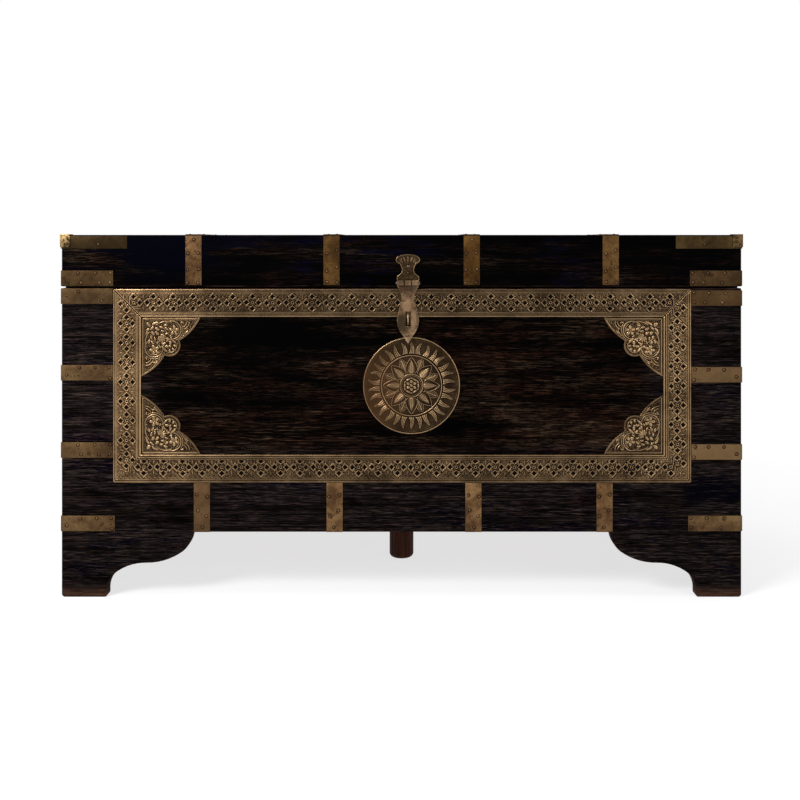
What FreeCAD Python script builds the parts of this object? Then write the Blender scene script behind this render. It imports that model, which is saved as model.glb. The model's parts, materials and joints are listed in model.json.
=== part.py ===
import FreeCAD
import Part
import Sketcher
import math
import os
import re

# An arabic dowry chest: a plank chest on ogee bracket feet, with a hinged lid, brass straps,
# a pierced brass frame, corner spandrels, a round medallion, and a hasp over a staple.
# Millimetres. +X is to the right of the front, +Y to the back, +Z up. The origin is on the
# floor, under the centre foot.

doc = FreeCAD.newDocument("dowry_chest")
sheet = doc.addObject("Spreadsheet::Sheet", "Size")

sizes = [
    # chest and lid
    ("chest_width", 1160),
    ("chest_depth", 460),
    ("chest_height", 618),
    ("lid_height", 88),
    ("seam_gap", 3),
    ("wall_thick", 20),
    ("floor_thick", 12),
    ("top_thick", 18),
    ("batten_size", 20),
    ("rail_height", 111),
    ("pad_size", 16),
    # feet
    ("foot_width", 224),
    ("knee_width", 144),
    ("knee_height", 58),
    ("ankle_width", 78),
    ("toe_height", 14),
    ("toe_radius", 5.5),
    ("side_foot_width", 165),
    ("side_knee_width", 107),
    ("side_ankle_width", 62),
    ("rear_foot_width", 150),
    ("rear_toe_width", 62),
    ("block_size", 35),
    ("bearer_width", 70),
    ("centre_foot_radius", 23),
    ("centre_foot_round", 8),
    # brass straps
    ("strap_thick", 1.2),
    ("strap_width", 26.4),
    ("strap_return", 88),
    ("strap_clearance", 0.2),
    ("low_strap_rise", 1.6),
    ("band_width", 27.6),
    ("band_end", 2.5),
    ("fit_gap", 0.4),
    ("low_strap_length", 91),
    ("right_strap_drop", 3.3),
    ("lid_strap_length", 88),
    ("lid_strap_base", 0.8),
    ("crown_strap_length", 112),
    ("crown_strap_width", 22),
    ("crown_strap_drop", 1.5),
    ("cap_size", 15),
    ("cap_height", 21),
    ("rail_band_length", 84),
    # nails
    ("nail_radius", 3),
    ("nail_rise", 1.5),
    ("nail_pitch", 38),
    ("nail_inset", 6),
    # brass frame
    ("frame_left_gap", 87.9),
    ("frame_right_gap", 85.7),
    ("frame_drop", 1.4),
    ("frame_band", 48),
    ("frame_thick", 1.4),
    ("bead_inset", 2),
    ("bead_width", 2.2),
    ("bead_rise", 0.7),
    ("flower_end", 69.5),
    ("flower_reach", 10.5),
    ("flower_hole", 5.5),
    ("flower_pitch", 33.9),
    ("flower_rise_pitch", 35.2),
    # spandrels and medallion
    ("spandrel_gap", 32.2),
    ("spandrel_thick", 1.6),
    ("daisy_rise", 1.2),
    ("medallion_shift", 17),
    ("medallion_lift", 0.5),
    ("medallion_gap", 34.1),
    ("medallion_thick", 1.4),
    ("rim_width", 3),
    ("ring_rise", 1),
    ("petal_rise", 0.9),
    ("flame_count", 30),
    ("petal_count", 8),
    # hasp and staple
    ("hasp_shift", 11),
    ("hasp_thick", 2),
    ("hasp_axis_rise", 5.9),
    ("hasp_axis_out", 4.1),
    ("hasp_knuckle_radius", 3.6),
    ("hasp_barrel_width", 38),
    ("hasp_middle_width", 12),
    ("hasp_pin_radius", 1.5),
    ("pin_clearance", 0.06),
    ("knuckle_clearance", 0.3),
    ("hasp_head_radius", 2.6),
    ("hasp_head_thick", 1.6),
    ("hasp_length", 102.5),
    ("hasp_shoulder", 5.5),
    ("hasp_waist", 29.4),
    ("hasp_belly", 61),
    ("hasp_fold", 89.5),
    ("hasp_half_width", 18.6),
    ("hasp_waist_half", 10.5),
    ("hasp_tip_half", 8.5),
    ("hasp_tip_out", 7.5),
    ("hasp_slot_width", 8.7),
    ("hasp_slot_height", 24.6),
    ("staple_thick", 5),
    ("staple_height", 20),
    ("staple_out", 20),
    ("staple_eye_radius", 4.5),
    ("leaf_top", 49.2),
    ("leaf_head_half", 21.5),
    ("leaf_head_height", 40.5),
    ("leaf_neck_half", 11.2),
    ("leaf_neck_top", 33),
    ("leaf_neck_base", 23.2),
    ("leaf_flare_half", 19.2),
    ("leaf_flare_top", 12),
    # lid hinges
    ("hinge_width", 60),
    ("hinge_knuckle", 20),
    ("hinge_leaf", 42),
    ("hinge_thick", 2),
    ("hinge_radius", 4),
    ("hinge_out", 4.2),
    ("hinge_pin_radius", 2),
    ("hinge_head_radius", 3.2),
    ("hinge_head_thick", 2),
    # bail handles
    ("handle_height", 385),
    ("handle_plate_length", 118),
    ("handle_plate_height", 46),
    ("handle_plate_thick", 2.5),
    ("handle_out", 13),
    ("handle_ear_place", 46),
    ("handle_ear_width", 9),
    ("handle_ear_radius", 9),
    ("handle_rod_radius", 4),
    ("handle_arm_place", 36),
    ("handle_drop", 56),
    ("handle_bend", 14),
    ("handle_top_bend", 5),
    ("handle_pin_over", 3),
]
for row, (alias, number) in enumerate(sizes, 1):
    sheet.set("A%d" % row, alias)
    sheet.set("B%d" % row, str(number))
    sheet.setAlias("B%d" % row, alias)
doc.recompute()

nodes = []


# Formulas are written with the aliases alone. The sheet's name is put before each of them here.
def named(formula):
    return re.sub(r"[a-z]+(_[a-z]+)+", r"Size.\g<0>", formula)


def value(formula):
    return float(sheet.evalExpression(named(formula)))


def bind(thing, prop, formula):
    thing.setExpression(prop, named(formula))


def move(thing, x="0", y="0", z="0"):
    for axis, formula in zip("xyz", (x, y, z)):
        bind(thing, "Placement.Base." + axis, formula)


def node(thing, label):
    thing.Label = label
    nodes.append(thing)
    return thing


def origin_plane(body, role):
    return [feature for feature in body.Origin.OriginFeatures if feature.Role == role][0]


def new_sketch(body, role):
    sketch = body.newObject("Sketcher::SketchObject", body.Name + "_sketch")
    sketch.AttachmentSupport = [(origin_plane(body, role), "")]
    sketch.MapMode = "FlatFace"
    return sketch


# Holds a point of a sketch at two formulas, counted from the sketch's origin.
def pin_point(sketch, geometry, position, place):
    for kind, formula in zip(("DistanceX", "DistanceY"), place):
        rule = Sketcher.Constraint(kind, -1, 1, geometry, position, value(formula))
        index = sketch.addConstraint(rule)
        bind(sketch, "Constraints[%d]" % index, formula)


# A closed outline. Each corner is (x, y), or (x, y, via) where the edge that arrives at the
# corner is an arc through the point via.
def add_outline(sketch, corners):
    spots = [FreeCAD.Vector(value(corner[0]), value(corner[1]), 0) for corner in corners]
    first_edge = sketch.GeometryCount
    ends = []
    for i, corner in enumerate(corners):
        start, end = spots[i - 1], spots[i]
        if len(corner) == 2:
            sketch.addGeometry(Part.LineSegment(start, end), False)
            ends.append((1, 2))
            continue
        via = FreeCAD.Vector(value(corner[2][0]), value(corner[2][1]), 0)
        circle = Part.Circle(start, via, end)
        leftward = (via - start).cross(end - via).z > 0
        low, high = (start, end) if leftward else (end, start)
        angles = [math.atan2(p.y - circle.Center.y, p.x - circle.Center.x) for p in (low, high)]
        circle = Part.Circle(circle.Center, FreeCAD.Vector(0, 0, 1), circle.Radius)
        sketch.addGeometry(Part.ArcOfCircle(circle, angles[0], angles[1]), False)
        ends.append((1, 2) if leftward else (2, 1))
    for i, corner in enumerate(corners):
        edge = first_edge + i
        after = (i + 1) % len(corners)
        joint = Sketcher.Constraint("Coincident", edge, ends[i][1], first_edge + after, ends[after][0])
        sketch.addConstraint(joint)
        pin_point(sketch, edge, ends[i][1], corner[:2])
        if len(corner) == 3:
            via = FreeCAD.Vector(value(corner[2][0]), value(corner[2][1]), 0)
            mark = sketch.addGeometry(Part.Point(via), True)
            pin_point(sketch, mark, 1, corner[2])
            sketch.addConstraint(Sketcher.Constraint("PointOnObject", mark, 1, edge))


def add_circle(sketch, place, radius):
    centre = FreeCAD.Vector(value(place[0]), value(place[1]), 0)
    circle = Part.Circle(centre, FreeCAD.Vector(0, 0, 1), value(radius))
    edge = sketch.addGeometry(circle, False)
    pin_point(sketch, edge, 3, place)
    index = sketch.addConstraint(Sketcher.Constraint("Radius", edge, value(radius)))
    bind(sketch, "Constraints[%d]" % index, radius)


def new_body(name):
    return doc.addObject("PartDesign::Body", name)


# Sketches on XZ_Plane are padded towards the front, on YZ_Plane to the right, on XY_Plane up.
def pad(body, role, outlines=(), circles=(), thick="wall_thick", start="0"):
    sketch = new_sketch(body, role)
    bind(sketch, "AttachmentOffset.Base.z", start)
    for corners in outlines:
        add_outline(sketch, corners)
    for place, radius in circles:
        add_circle(sketch, place, radius)
    feature = body.newObject("PartDesign::Pad", body.Name + "_pad")
    feature.Profile = sketch
    bind(feature, "Length", thick)
    return feature


# A pocket that goes right through the body both ways from the sketch's plane.
def pocket(body, role, outlines=(), circles=()):
    sketch = new_sketch(body, role)
    for corners in outlines:
        add_outline(sketch, corners)
    for place, radius in circles:
        add_circle(sketch, place, radius)
    feature = body.newObject("PartDesign::Pocket", body.Name + "_pocket")
    feature.Profile = sketch
    feature.SideType = "Symmetric"
    feature.Type = "ThroughAll"
    return feature


def polar(body, feature, count):
    pattern = body.newObject("PartDesign::PolarPattern", body.Name + "_polar")
    pattern.Originals = [feature]
    pattern.Axis = (feature.Profile[0], ["N_Axis"])
    bind(pattern, "Occurrences", count)
    body.Tip = pattern
    return pattern


def linear(body, feature, axis, span, count):
    pattern = body.newObject("PartDesign::LinearPattern", body.Name + "_linear")
    pattern.Originals = [feature]
    pattern.Direction = (feature.Profile[0], [axis])
    bind(pattern, "Length", span)
    bind(pattern, "Occurrences", count)
    body.Tip = pattern
    return pattern


def block(name, low, high):
    thing = doc.addObject("Part::Box", name)
    for prop, a, b in zip(("Length", "Width", "Height"), low, high):
        bind(thing, prop, "(%s) - (%s)" % (b, a))
    move(thing, *low)
    return thing


# A round bar along X or Y that starts at a place and is so long.
def bar(name, axis, place, radius, length):
    thing = doc.addObject("Part::Cylinder", name)
    about, angle = {"X": ((0, 1, 0), 90), "Y": ((1, 0, 0), -90)}[axis]
    turn = FreeCAD.Rotation(FreeCAD.Vector(*about), angle)
    thing.Placement = FreeCAD.Placement(FreeCAD.Vector(), turn)
    bind(thing, "Radius", radius)
    bind(thing, "Height", length)
    move(thing, *place)
    return thing


def join(name, shapes):
    thing = doc.addObject("Part::MultiFuse", name)
    thing.Shapes = shapes
    return thing


def cut(name, base, tool):
    thing = doc.addObject("Part::Cut", name)
    thing.Base = base
    thing.Tool = tool
    return thing


def group(name, shapes):
    thing = doc.addObject("Part::Compound", name)
    thing.Links = shapes
    return thing


half_width = "chest_width / 2"
half_depth = "chest_depth / 2"
inner_x = "(chest_width / 2 - wall_thick)"
inner_y = "(chest_depth / 2 - wall_thick)"
rim = "(chest_height - lid_height - seam_gap)"
lid_base = "(chest_height - lid_height)"


# The ogee edge of a bracket foot, from its outer edge at the floor to the underside of the
# rail, as (distance from the outer edge, height, via). The knee bulges and the ankle is hollow.
def foot_curve(foot, knee, ankle, rounded_outside=True):
    def hollow(angle):
        across = "%s - (%s - %s) * cos(%g)" % (knee, knee, ankle, angle)
        return across, "toe_height + (knee_height - toe_height) * sin(%g)" % angle

    def bulge(angle):
        across = "%s + (%s - %s) * sin(%g)" % (knee, foot, knee, angle)
        return across, "rail_height - (rail_height - knee_height) * cos(%g)" % angle

    def toe(centre, sign):
        return "%s %s toe_radius * cos(45)" % (centre, sign), "toe_radius * (1 - sin(45))"

    inside = "%s - toe_radius" % ankle
    curve = [
        (inside, "0", None),
        (ankle, "toe_radius", toe(inside, "+")),
        (ankle, "toe_height", None),
        (*hollow(45), hollow(22.5)),
        (*hollow(90), hollow(67.5)),
        (*bulge(45), bulge(22.5)),
        (*bulge(90), bulge(67.5)),
    ]
    if rounded_outside:
        outside = [("0", "toe_radius", None), ("toe_radius", "0", toe("toe_radius", "-"))]
        return outside + curve
    return [("wall_thick", "0", None)] + curve


# Puts a curve of distances beside an edge. A mirrored one is walked the other way.
def beside(curve, edge, mirrored=False):
    def spot(distance, height):
        return "%s %s (%s)" % (edge, "-" if mirrored else "+", distance), height

    if not mirrored:
        return [spot(t, z) + ((spot(*via),) if via else ()) for t, z, via in curve]
    vias = [via for _, _, via in curve[1:]] + [None]
    walked = []
    for (t, z, _), via in reversed(list(zip(curve, vias))):
        walked.append(spot(t, z) + ((spot(*via),) if via else ()))
    return walked


# Boards of the chest
front_curve = foot_curve("foot_width", "knee_width", "ankle_width")
front_board = node(new_body("front_board"), "front_board")
front_outline = [("-chest_width / 2", rim)]
front_outline += beside(front_curve, "-chest_width / 2")
front_outline += beside(front_curve, "chest_width / 2", mirrored=True)
front_outline += [("chest_width / 2", rim)]
pad(front_board, "XZ_Plane", [front_outline])
move(front_board, y="-chest_depth / 2 + wall_thick")

side_feet = ("side_foot_width", "side_knee_width", "side_ankle_width")
side_outline = [("-chest_depth / 2 + wall_thick", rim)]
side_outline += beside(foot_curve(*side_feet, rounded_outside=False), "-chest_depth / 2")
side_outline += beside(foot_curve(*side_feet), "chest_depth / 2", mirrored=True)
side_outline += [("chest_depth / 2", rim)]
for label, x in (("left_side_board", "-chest_width / 2"), ("right_side_board", inner_x)):
    side_board = node(new_body(label), label)
    pad(side_board, "YZ_Plane", [side_outline])
    move(side_board, x=x)

back_low = ("-" + inner_x, inner_y, "rail_height")
node(block("back_board", back_low, (inner_x, half_depth, rim)), "back_board")

battens_top = "rail_height + batten_size"
bottom_low = ("-" + inner_x, "-" + inner_y, battens_top)
bottom_high = (inner_x, inner_y, battens_top + " + floor_thick")
node(block("bottom_board", bottom_low, bottom_high), "bottom_board")


# Battens round the inside of the walls, under the bottom board.
def batten(name, x0, x1, y0, y1):
    return block(name, (x0, y0, "rail_height"), (x1, y1, battens_top))


inner_batten_y = "(chest_depth / 2 - wall_thick - batten_size)"
inner_batten_x = "(chest_width / 2 - wall_thick - batten_size)"
battens = [
    batten("front_batten", "-" + inner_x, inner_x, "-" + inner_y, "-" + inner_batten_y),
    batten("back_batten", "-" + inner_x, inner_x, inner_batten_y, inner_y),
    batten("left_batten", "-" + inner_x, "-" + inner_batten_x, "-" + inner_batten_y, inner_batten_y),
    batten("right_batten", inner_batten_x, inner_x, "-" + inner_batten_y, inner_batten_y),
]
node(group("bottom_battens", battens), "bottom_battens")
bearer_ends = ("-bearer_width / 2", "bearer_width / 2", "-" + inner_batten_y, inner_batten_y)
bearer = batten("foot_bearer", *bearer_ends)
node(bearer, "foot_bearer")

centre_foot = node(new_body("centre_foot"), "centre_foot")
turned = new_sketch(centre_foot, "XZ_Plane")
round_via = "centre_foot_radius - centre_foot_round * (1 - cos(45))"
add_outline(turned, [
    ("0", "0"),
    ("centre_foot_radius - centre_foot_round", "0"),
    ("centre_foot_radius", "centre_foot_round", (round_via, "centre_foot_round * (1 - sin(45))")),
    ("centre_foot_radius", "rail_height"),
    ("0", "rail_height"),
])
turning = centre_foot.newObject("PartDesign::Revolution", "centre_foot_turning")
turning.Profile = turned
turning.ReferenceAxis = (turned, ["V_Axis"])


# Three-cornered glue blocks inside the feet, and plain brackets for the rear feet.
def foot_block(name, side, end):
    body = new_body(name)
    x0, y0 = "%s%s" % (side, inner_x), "%s%s" % (end, inner_y)
    inward_x, inward_y = ("+" if side == "-" else "-"), ("+" if end == "-" else "-")
    corners = [
        (x0, y0),
        ("%s %s block_size" % (x0, inward_x), y0),
        (x0, "%s %s block_size" % (y0, inward_y)),
    ]
    pad(body, "XY_Plane", [corners], thick="rail_height - toe_radius", start="toe_radius")
    return body


corner_signs = [
    ("left", "front", "-", "-"),
    ("right", "front", "", "-"),
    ("left", "rear", "-", ""),
    ("right", "rear", "", ""),
]
foot_blocks = [foot_block("%s_%s_block" % (a, b), side, end) for a, b, side, end in corner_signs]
node(group("foot_blocks", foot_blocks), "foot_blocks")


def rear_bracket(name, side):
    body = new_body(name)
    inward = "+" if side == "-" else "-"
    edge = side + inner_x
    corners = [
        (edge, "0"),
        ("%s %s rear_toe_width" % (edge, inward), "0"),
        ("%s %s rear_foot_width" % (edge, inward), "rail_height"),
        (edge, "rail_height"),
    ]
    pad(body, "XZ_Plane", [corners])
    move(body, y=half_depth)
    return body


rear_brackets = [rear_bracket("left_rear_bracket", "-"), rear_bracket("right_rear_bracket", "")]
node(group("rear_foot_brackets", rear_brackets), "rear_foot_brackets")

# Boards of the lid
lid_boards = [
    ("lid_front", "-" + half_width, half_width, "-" + half_depth, "-" + inner_y, lid_base),
    ("lid_back", "-" + inner_x, inner_x, inner_y, half_depth, lid_base),
    ("lid_left_end", "-" + half_width, "-" + inner_x, "-" + inner_y, half_depth, lid_base),
    ("lid_right_end", inner_x, half_width, "-" + inner_y, half_depth, lid_base),
    ("lid_top", "-" + inner_x, inner_x, "-" + inner_y, inner_y, "chest_height - top_thick"),
]
for label, x0, x1, y0, y1, base in lid_boards:
    node(block(label, (x0, y0, base), (x1, y1, "chest_height")), label)

# Pads on the rim that the lid rests on
pad_places = [("left", "-chest_width / 2"), ("right", "chest_width / 2 - pad_size")]
rim_pads = []
for end, y in (("front", "-" + inner_y), ("rear", inner_y + " - pad_size")):
    for name, x in pad_places:
        high = ("%s + pad_size" % x, "%s + pad_size" % y, lid_base)
        rim_pads.append(block("%s_%s_pad" % (name, end), (x, y, rim), high))
node(group("rim_pads", rim_pads), "rim_pads")


# A brass strap round a corner: one leg on the front or back, one on the side.
def corner_strap(name, side, end, base, width, leg):
    edge_x, edge_y = side + half_width, end + half_depth
    out_x, in_x = ("-", "+") if side == "-" else ("+", "-")
    out_y, in_y = ("-", "+") if end == "-" else ("+", "-")
    far_x = "%s %s strap_thick" % (edge_x, out_x)
    far_y = "%s %s strap_thick" % (edge_y, out_y)
    body = new_body(name)
    corners = [
        (far_x, far_y),
        ("%s %s (%s)" % (edge_x, in_x, leg), far_y),
        ("%s %s (%s)" % (edge_x, in_x, leg), edge_y),
        (edge_x, edge_y),
        (edge_x, "%s %s strap_return" % (edge_y, in_y)),
        (far_x, "%s %s strap_return" % (edge_y, in_y)),
    ]
    pad(body, "XY_Plane", [corners], thick=width, start=base)
    return body


# Four straps up each corner, between one over the lower rail and one just under the rim, in
# shares of that rise. The upper three reach the frame on the front, the lowest is under it.
strap_level_shares = [1, 0.6625, 0.3226, 0]
lowest_base = "(rail_height + low_strap_rise)"
highest_base = "(%s - strap_clearance - strap_width)" % rim
frame_left = "(frame_left_gap - chest_width / 2)"
frame_right = "(chest_width / 2 - frame_right_gap)"
frame_legs = {"left": "frame_left_gap - fit_gap", "right": "frame_right_gap - fit_gap"}


def strap_place(hand, share):
    base = "%s + (%s - %s) * %g" % (lowest_base, highest_base, lowest_base, share)
    if share == 0:
        return lowest_base, "low_strap_length"
    if hand == "right":
        base += " - right_strap_drop"
    return base, frame_legs[hand]


for a, b, side, end in corner_signs:
    straps = []
    for level, share in enumerate(strap_level_shares):
        base, leg = strap_place(a, share)
        name = "%s_%s_strap_%d" % (a, b, level)
        straps.append(corner_strap(name, side, end, base, "strap_width", leg))
    label = "%s_%s_corner_straps" % (b, a)
    node(group(label, straps), label)


# A block round a corner that reaches so far out of it and so far in.
def corner_block(name, side, end, outer, inner, low, high):
    starts, ends = [], []
    for sign, edge in ((side, half_width), (end, half_depth)):
        starts.append("%s%s - %s" % (sign, edge, outer if sign else inner))
        ends.append("%s%s + %s" % (sign, edge, inner if sign else outer))
    return block(name, (*starts, low), (*ends, high))


# Lid straps, crown straps and the caps that lie over the crown straps
lid_strap_low = lid_base + " + lid_strap_base"
crown_base = "chest_height - crown_strap_drop - crown_strap_width"
cap_base, cap_top = "chest_height - cap_height", "chest_height + strap_thick"
lid_straps = []
crown_straps = []
corner_caps = []
for a, b, side, end in corner_signs:
    name = "%s_%s" % (a, b)
    low_strap = ("strap_width", "lid_strap_length")
    lid_straps.append(corner_strap(name + "_lid_strap", side, end, lid_strap_low, *low_strap))
    high_strap = ("crown_strap_width", "crown_strap_length")
    crown_straps.append(corner_strap(name + "_crown", side, end, crown_base, *high_strap))
    around = ("2 * strap_thick", "cap_size")
    shell = corner_block(name + "_cap_shell", side, end, *around, cap_base, cap_top)
    within = ("strap_thick", "2 * cap_size")
    core = corner_block(name + "_cap_core", side, end, *within, lid_base, "chest_height")
    corner_caps.append(cut(name + "_cap", shell, core))
node(group("lid_corner_straps", lid_straps), "lid_corner_straps")
node(group("lid_crown_straps", crown_straps), "lid_crown_straps")
node(group("lid_corner_caps", corner_caps), "lid_corner_caps")

# Bands over the lid, each in one strip from the front over the top to the back. The bands and
# the strips on the rail are placed in shares of the width.
lid_band_shares = [-0.306, -0.103, 0.1033, 0.3077]
rail_band_shares = [-0.2936, -0.0984, 0.1057, 0.2986]
band_out = "(chest_depth / 2 + strap_thick)"
band_base = lid_base + " + band_end"
for index, share in enumerate(lid_band_shares, 1):
    label = "lid_band_%d" % index
    band = node(new_body(label), label)
    corners = [
        ("-" + band_out, band_base),
        ("-" + half_depth, band_base),
        ("-" + half_depth, "chest_height"),
        (half_depth, "chest_height"),
        (half_depth, band_base),
        (band_out, band_base),
        (band_out, "chest_height + strap_thick"),
        ("-" + band_out, "chest_height + strap_thick"),
    ]
    start = "chest_width * %g - band_width / 2" % share
    pad(band, "YZ_Plane", [corners], thick="band_width", start=start)

rail_top = "rail_height + rail_band_length"
rail_strips = []
for index, share in enumerate(rail_band_shares, 1):
    x = "chest_width * %g" % share
    low = (x + " - band_width / 2", "-" + band_out, "rail_height")
    high = (x + " + band_width / 2", "-" + half_depth, rail_top)
    rail_strips.append(block("rail_strip_%d" % index, low, high))
node(group("rail_bands", rail_strips), "rail_bands")

frame_top = "(%s - frame_drop)" % rim
frame_base = "(%s + fit_gap)" % rail_top
frame_width = "(%s - %s)" % (frame_right, frame_left)
frame_height = "(%s - %s)" % (frame_top, frame_base)


# One mitred side of the frame, between two distances from the frame's outer edge.
def frame_corners(side, near, far):
    left = ["%s + %s" % (frame_left, d) for d in (near, far)]
    right = ["%s - %s" % (frame_right, d) for d in (near, far)]
    low = ["%s + %s" % (frame_base, d) for d in (near, far)]
    high = ["%s - %s" % (frame_top, d) for d in (near, far)]
    return {
        "top": [(left[0], high[0]), (right[0], high[0]), (right[1], high[1]), (left[1], high[1])],
        "bottom": [(left[0], low[0]), (right[0], low[0]), (right[1], low[1]), (left[1], low[1])],
        "left": [(left[0], low[0]), (left[0], high[0]), (left[1], high[1]), (left[1], low[1])],
        "right": [(right[0], low[0]), (right[0], high[0]), (right[1], high[1]), (right[1], low[1])],
    }[side]


# Four small square holes, corner up, round the middle of each flower.
def flower_holes(x, z):
    holes = []
    for dx, dz in ((1, 0), (0, 1), (-1, 0), (0, -1)):
        cx, cz = "%s + %d * flower_reach" % (x, dx), "%s + %d * flower_reach" % (z, dz)
        reach = "flower_hole * cos(45)"
        sides = [(cx + " + " + reach, cz), (cx + " - " + reach, cz)]
        ends = [(cx, cz + " + " + reach), (cx, cz + " - " + reach)]
        holes.append([sides[0], ends[0], sides[1], ends[1]])
    return holes


row_span = "(%s - 2 * flower_end)" % frame_width
column_span = "(%s - frame_band)" % frame_height
flowers_across = "floor(%s / flower_pitch + 0.5) + 1" % row_span
flowers_up = "floor(%s / flower_rise_pitch + 0.5) - 1" % column_span
column_step = "%s / (%s + 1)" % (column_span, flowers_up)
column_start = "%s + frame_band / 2 + %s" % (frame_base, column_step)
hasp_axis = "(%s + hasp_axis_rise)" % lid_base
staple_middle = "(%s - hasp_belly)" % hasp_axis
flower_starts = {
    "top": (frame_left + " + flower_end", frame_top + " - frame_band / 2"),
    "bottom": (frame_left + " + flower_end", frame_base + " + frame_band / 2"),
    "left": (frame_left + " + frame_band / 2", column_start),
    "right": (frame_right + " - frame_band / 2", column_start),
}
for side, start in flower_starts.items():
    label = "frame_" + side
    strip = node(new_body(label), label)
    pad(strip, "XZ_Plane", [frame_corners(side, "0", "frame_band")], thick="frame_thick")
    beads = [
        frame_corners(side, "bead_inset", "(bead_inset + bead_width)"),
        frame_corners(side, "(frame_band - bead_inset - bead_width)", "(frame_band - bead_inset)"),
    ]
    pad(strip, "XZ_Plane", beads, thick="bead_rise", start="frame_thick")
    first = pocket(strip, "XZ_Plane", flower_holes(*start))
    if side in ("top", "bottom"):
        linear(strip, first, "H_Axis", row_span, flowers_across)
    else:
        linear(strip, first, "V_Axis", "%s * (%s - 1)" % (column_step, flowers_up), flowers_up)
    if side == "top":
        notch_left = "hasp_shift - staple_thick / 2 - fit_gap"
        notch_right = "hasp_shift + staple_thick / 2 + fit_gap"
        notch_low = staple_middle + " - staple_height"
        notch_high = staple_middle + " + staple_height / 2 + fit_gap"
        notch = [
            (notch_left, notch_low),
            (notch_right, notch_low),
            (notch_right, notch_high),
            (notch_left, notch_high),
        ]
        pocket(strip, "XZ_Plane", [notch])
    move(strip, y="-" + half_depth)

# Corner spandrels: two cusps and three lobes between the tips of their legs, and four daisies,
# in shares of a leg
lobe_shares = [(0.42, 0.63, 0.28, 0.84), (0.63, 0.42, 0.645, 0.645), (1, 0, 0.84, 0.28)]
daisy_shares = [(0.24, 0.24), (0.2, 0.56), (0.56, 0.2), (0.47, 0.47)]
daisy_radius_share = 0.09
inner_left = "(%s + frame_band)" % frame_left
inner_right = "(%s - frame_band)" % frame_right
inner_base = "(%s + frame_band)" % frame_base
inner_top = "(%s - frame_band)" % frame_top
inner_height = "(%s - %s)" % (inner_top, inner_base)
spandrel_leg = "((%s - spandrel_gap) / 2)" % inner_height
spandrels = [
    ("spandrel_top_left", inner_left, "+", inner_top, "-"),
    ("spandrel_top_right", inner_right, "-", inner_top, "-"),
    ("spandrel_bottom_left", inner_left, "+", inner_base, "+"),
    ("spandrel_bottom_right", inner_right, "-", inner_base, "+"),
]


# A spot of a spandrel, so far along each leg.
def leg_spot(place, u, v):
    x, x_sign, z, z_sign = place
    run = "(%s - fit_gap)" % spandrel_leg
    across = "%s %s (fit_gap + %s * %g)" % (x, x_sign, run, u)
    return across, "%s %s (fit_gap + %s * %g)" % (z, z_sign, run, v)


for label, *place in spandrels:
    spandrel = node(new_body(label), label)
    corners = [leg_spot(place, 0, 0), leg_spot(place, 0, 1)]
    for u, v, via_u, via_v in lobe_shares:
        corners.append((*leg_spot(place, u, v), leg_spot(place, via_u, via_v)))
    pad(spandrel, "XZ_Plane", [corners], thick="spandrel_thick")
    daisy = "%s * %g" % (spandrel_leg, daisy_radius_share)
    daisies = [(leg_spot(place, u, v), daisy) for u, v in daisy_shares]
    pad(spandrel, "XZ_Plane", circles=daisies, thick="daisy_rise", start="spandrel_thick")
    move(spandrel, y="-" + half_depth)


# The medallion: a disc with raised rings, a ring of flames and a ring of petals. Its rings and
# the widths of its petals are shares of its radius.
inner_ring_share = 0.619
centre_ring_share = 0.235
centre_boss_share = 0.096
flame_width_share = 0.06
petal_width_share = 0.1024
medallion_radius = "(%s / 2 - medallion_gap)" % inner_height
inner_ring = "%s * %g" % (medallion_radius, inner_ring_share)
centre_ring = "%s * %g" % (medallion_radius, centre_ring_share)


def petal(inner, outer, width_share):
    half = "%s * %g" % (medallion_radius, width_share)
    middle = "((%s) + (%s)) / 2" % (inner, outer)
    return [("0", inner, (half, middle)), ("0", outer, ("-" + half, middle))]


medallion = node(new_body("medallion"), "medallion")
ring_radii = [
    medallion_radius,
    medallion_radius + " - rim_width",
    inner_ring + " + rim_width / 2",
    inner_ring + " - rim_width / 2",
    centre_ring + " + rim_width / 2",
    centre_ring + " - rim_width / 2",
    "%s * %g" % (medallion_radius, centre_boss_share),
]
rings = [(("0", "0"), radius) for radius in ring_radii]
pad(medallion, "XZ_Plane", circles=rings[:1], thick="medallion_thick")
pad(medallion, "XZ_Plane", circles=rings, thick="ring_rise", start="medallion_thick")
flame_top = medallion_radius + " - 2 * rim_width"
flame = petal(inner_ring + " + rim_width", flame_top, flame_width_share)
flames = pad(medallion, "XZ_Plane", [flame], thick="petal_rise", start="medallion_thick")
polar(medallion, flames, "flame_count")
leaf = petal(centre_ring + " + rim_width", inner_ring + " - rim_width", petal_width_share)
leaves = pad(medallion, "XZ_Plane", [leaf], thick="petal_rise", start="medallion_thick")
polar(medallion, leaves, "petal_count")
medallion_height = "(%s + %s) / 2 + medallion_lift" % (inner_top, inner_base)
move(medallion, "medallion_shift", "-" + half_depth, medallion_height)

# Hasp. Its plane is the pin's plane, so it swings clear of the frame and the medallion.
hasp_y = "(-chest_depth / 2 - hasp_axis_out)"


# A knuckle round a pin along X. Its bore has the running clearance.
def knuckle(name, x, y, z, radius, pin_radius, width):
    shell = bar(name + "_shell", "X", (x, y, z), radius, width)
    bore = bar(name + "_bore", "X", (x + " - fit_gap", y, z), pin_radius, width + " + 2 * fit_gap")
    return shell, bore


# The same spot, or the same arc, on the other side of the middle
def other_side(spot):
    return "-(%s)" % spot[0], spot[1]


# How far each curved edge bulges, as a place between its ends: a share of the way from the
# narrow end to the wide one, and a share of the way down
upper_share = (0.2, 0.55)
belly_share = (0.62, 0.5)
taper_share = (0.7, 0.6)


def between(narrow, wide, top, base, shares):
    across = "%s + (%s - %s) * %g" % (narrow, wide, narrow, shares[0])
    return across, "-%s - (%s - %s) * %g" % (top, base, top, shares[1])


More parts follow.
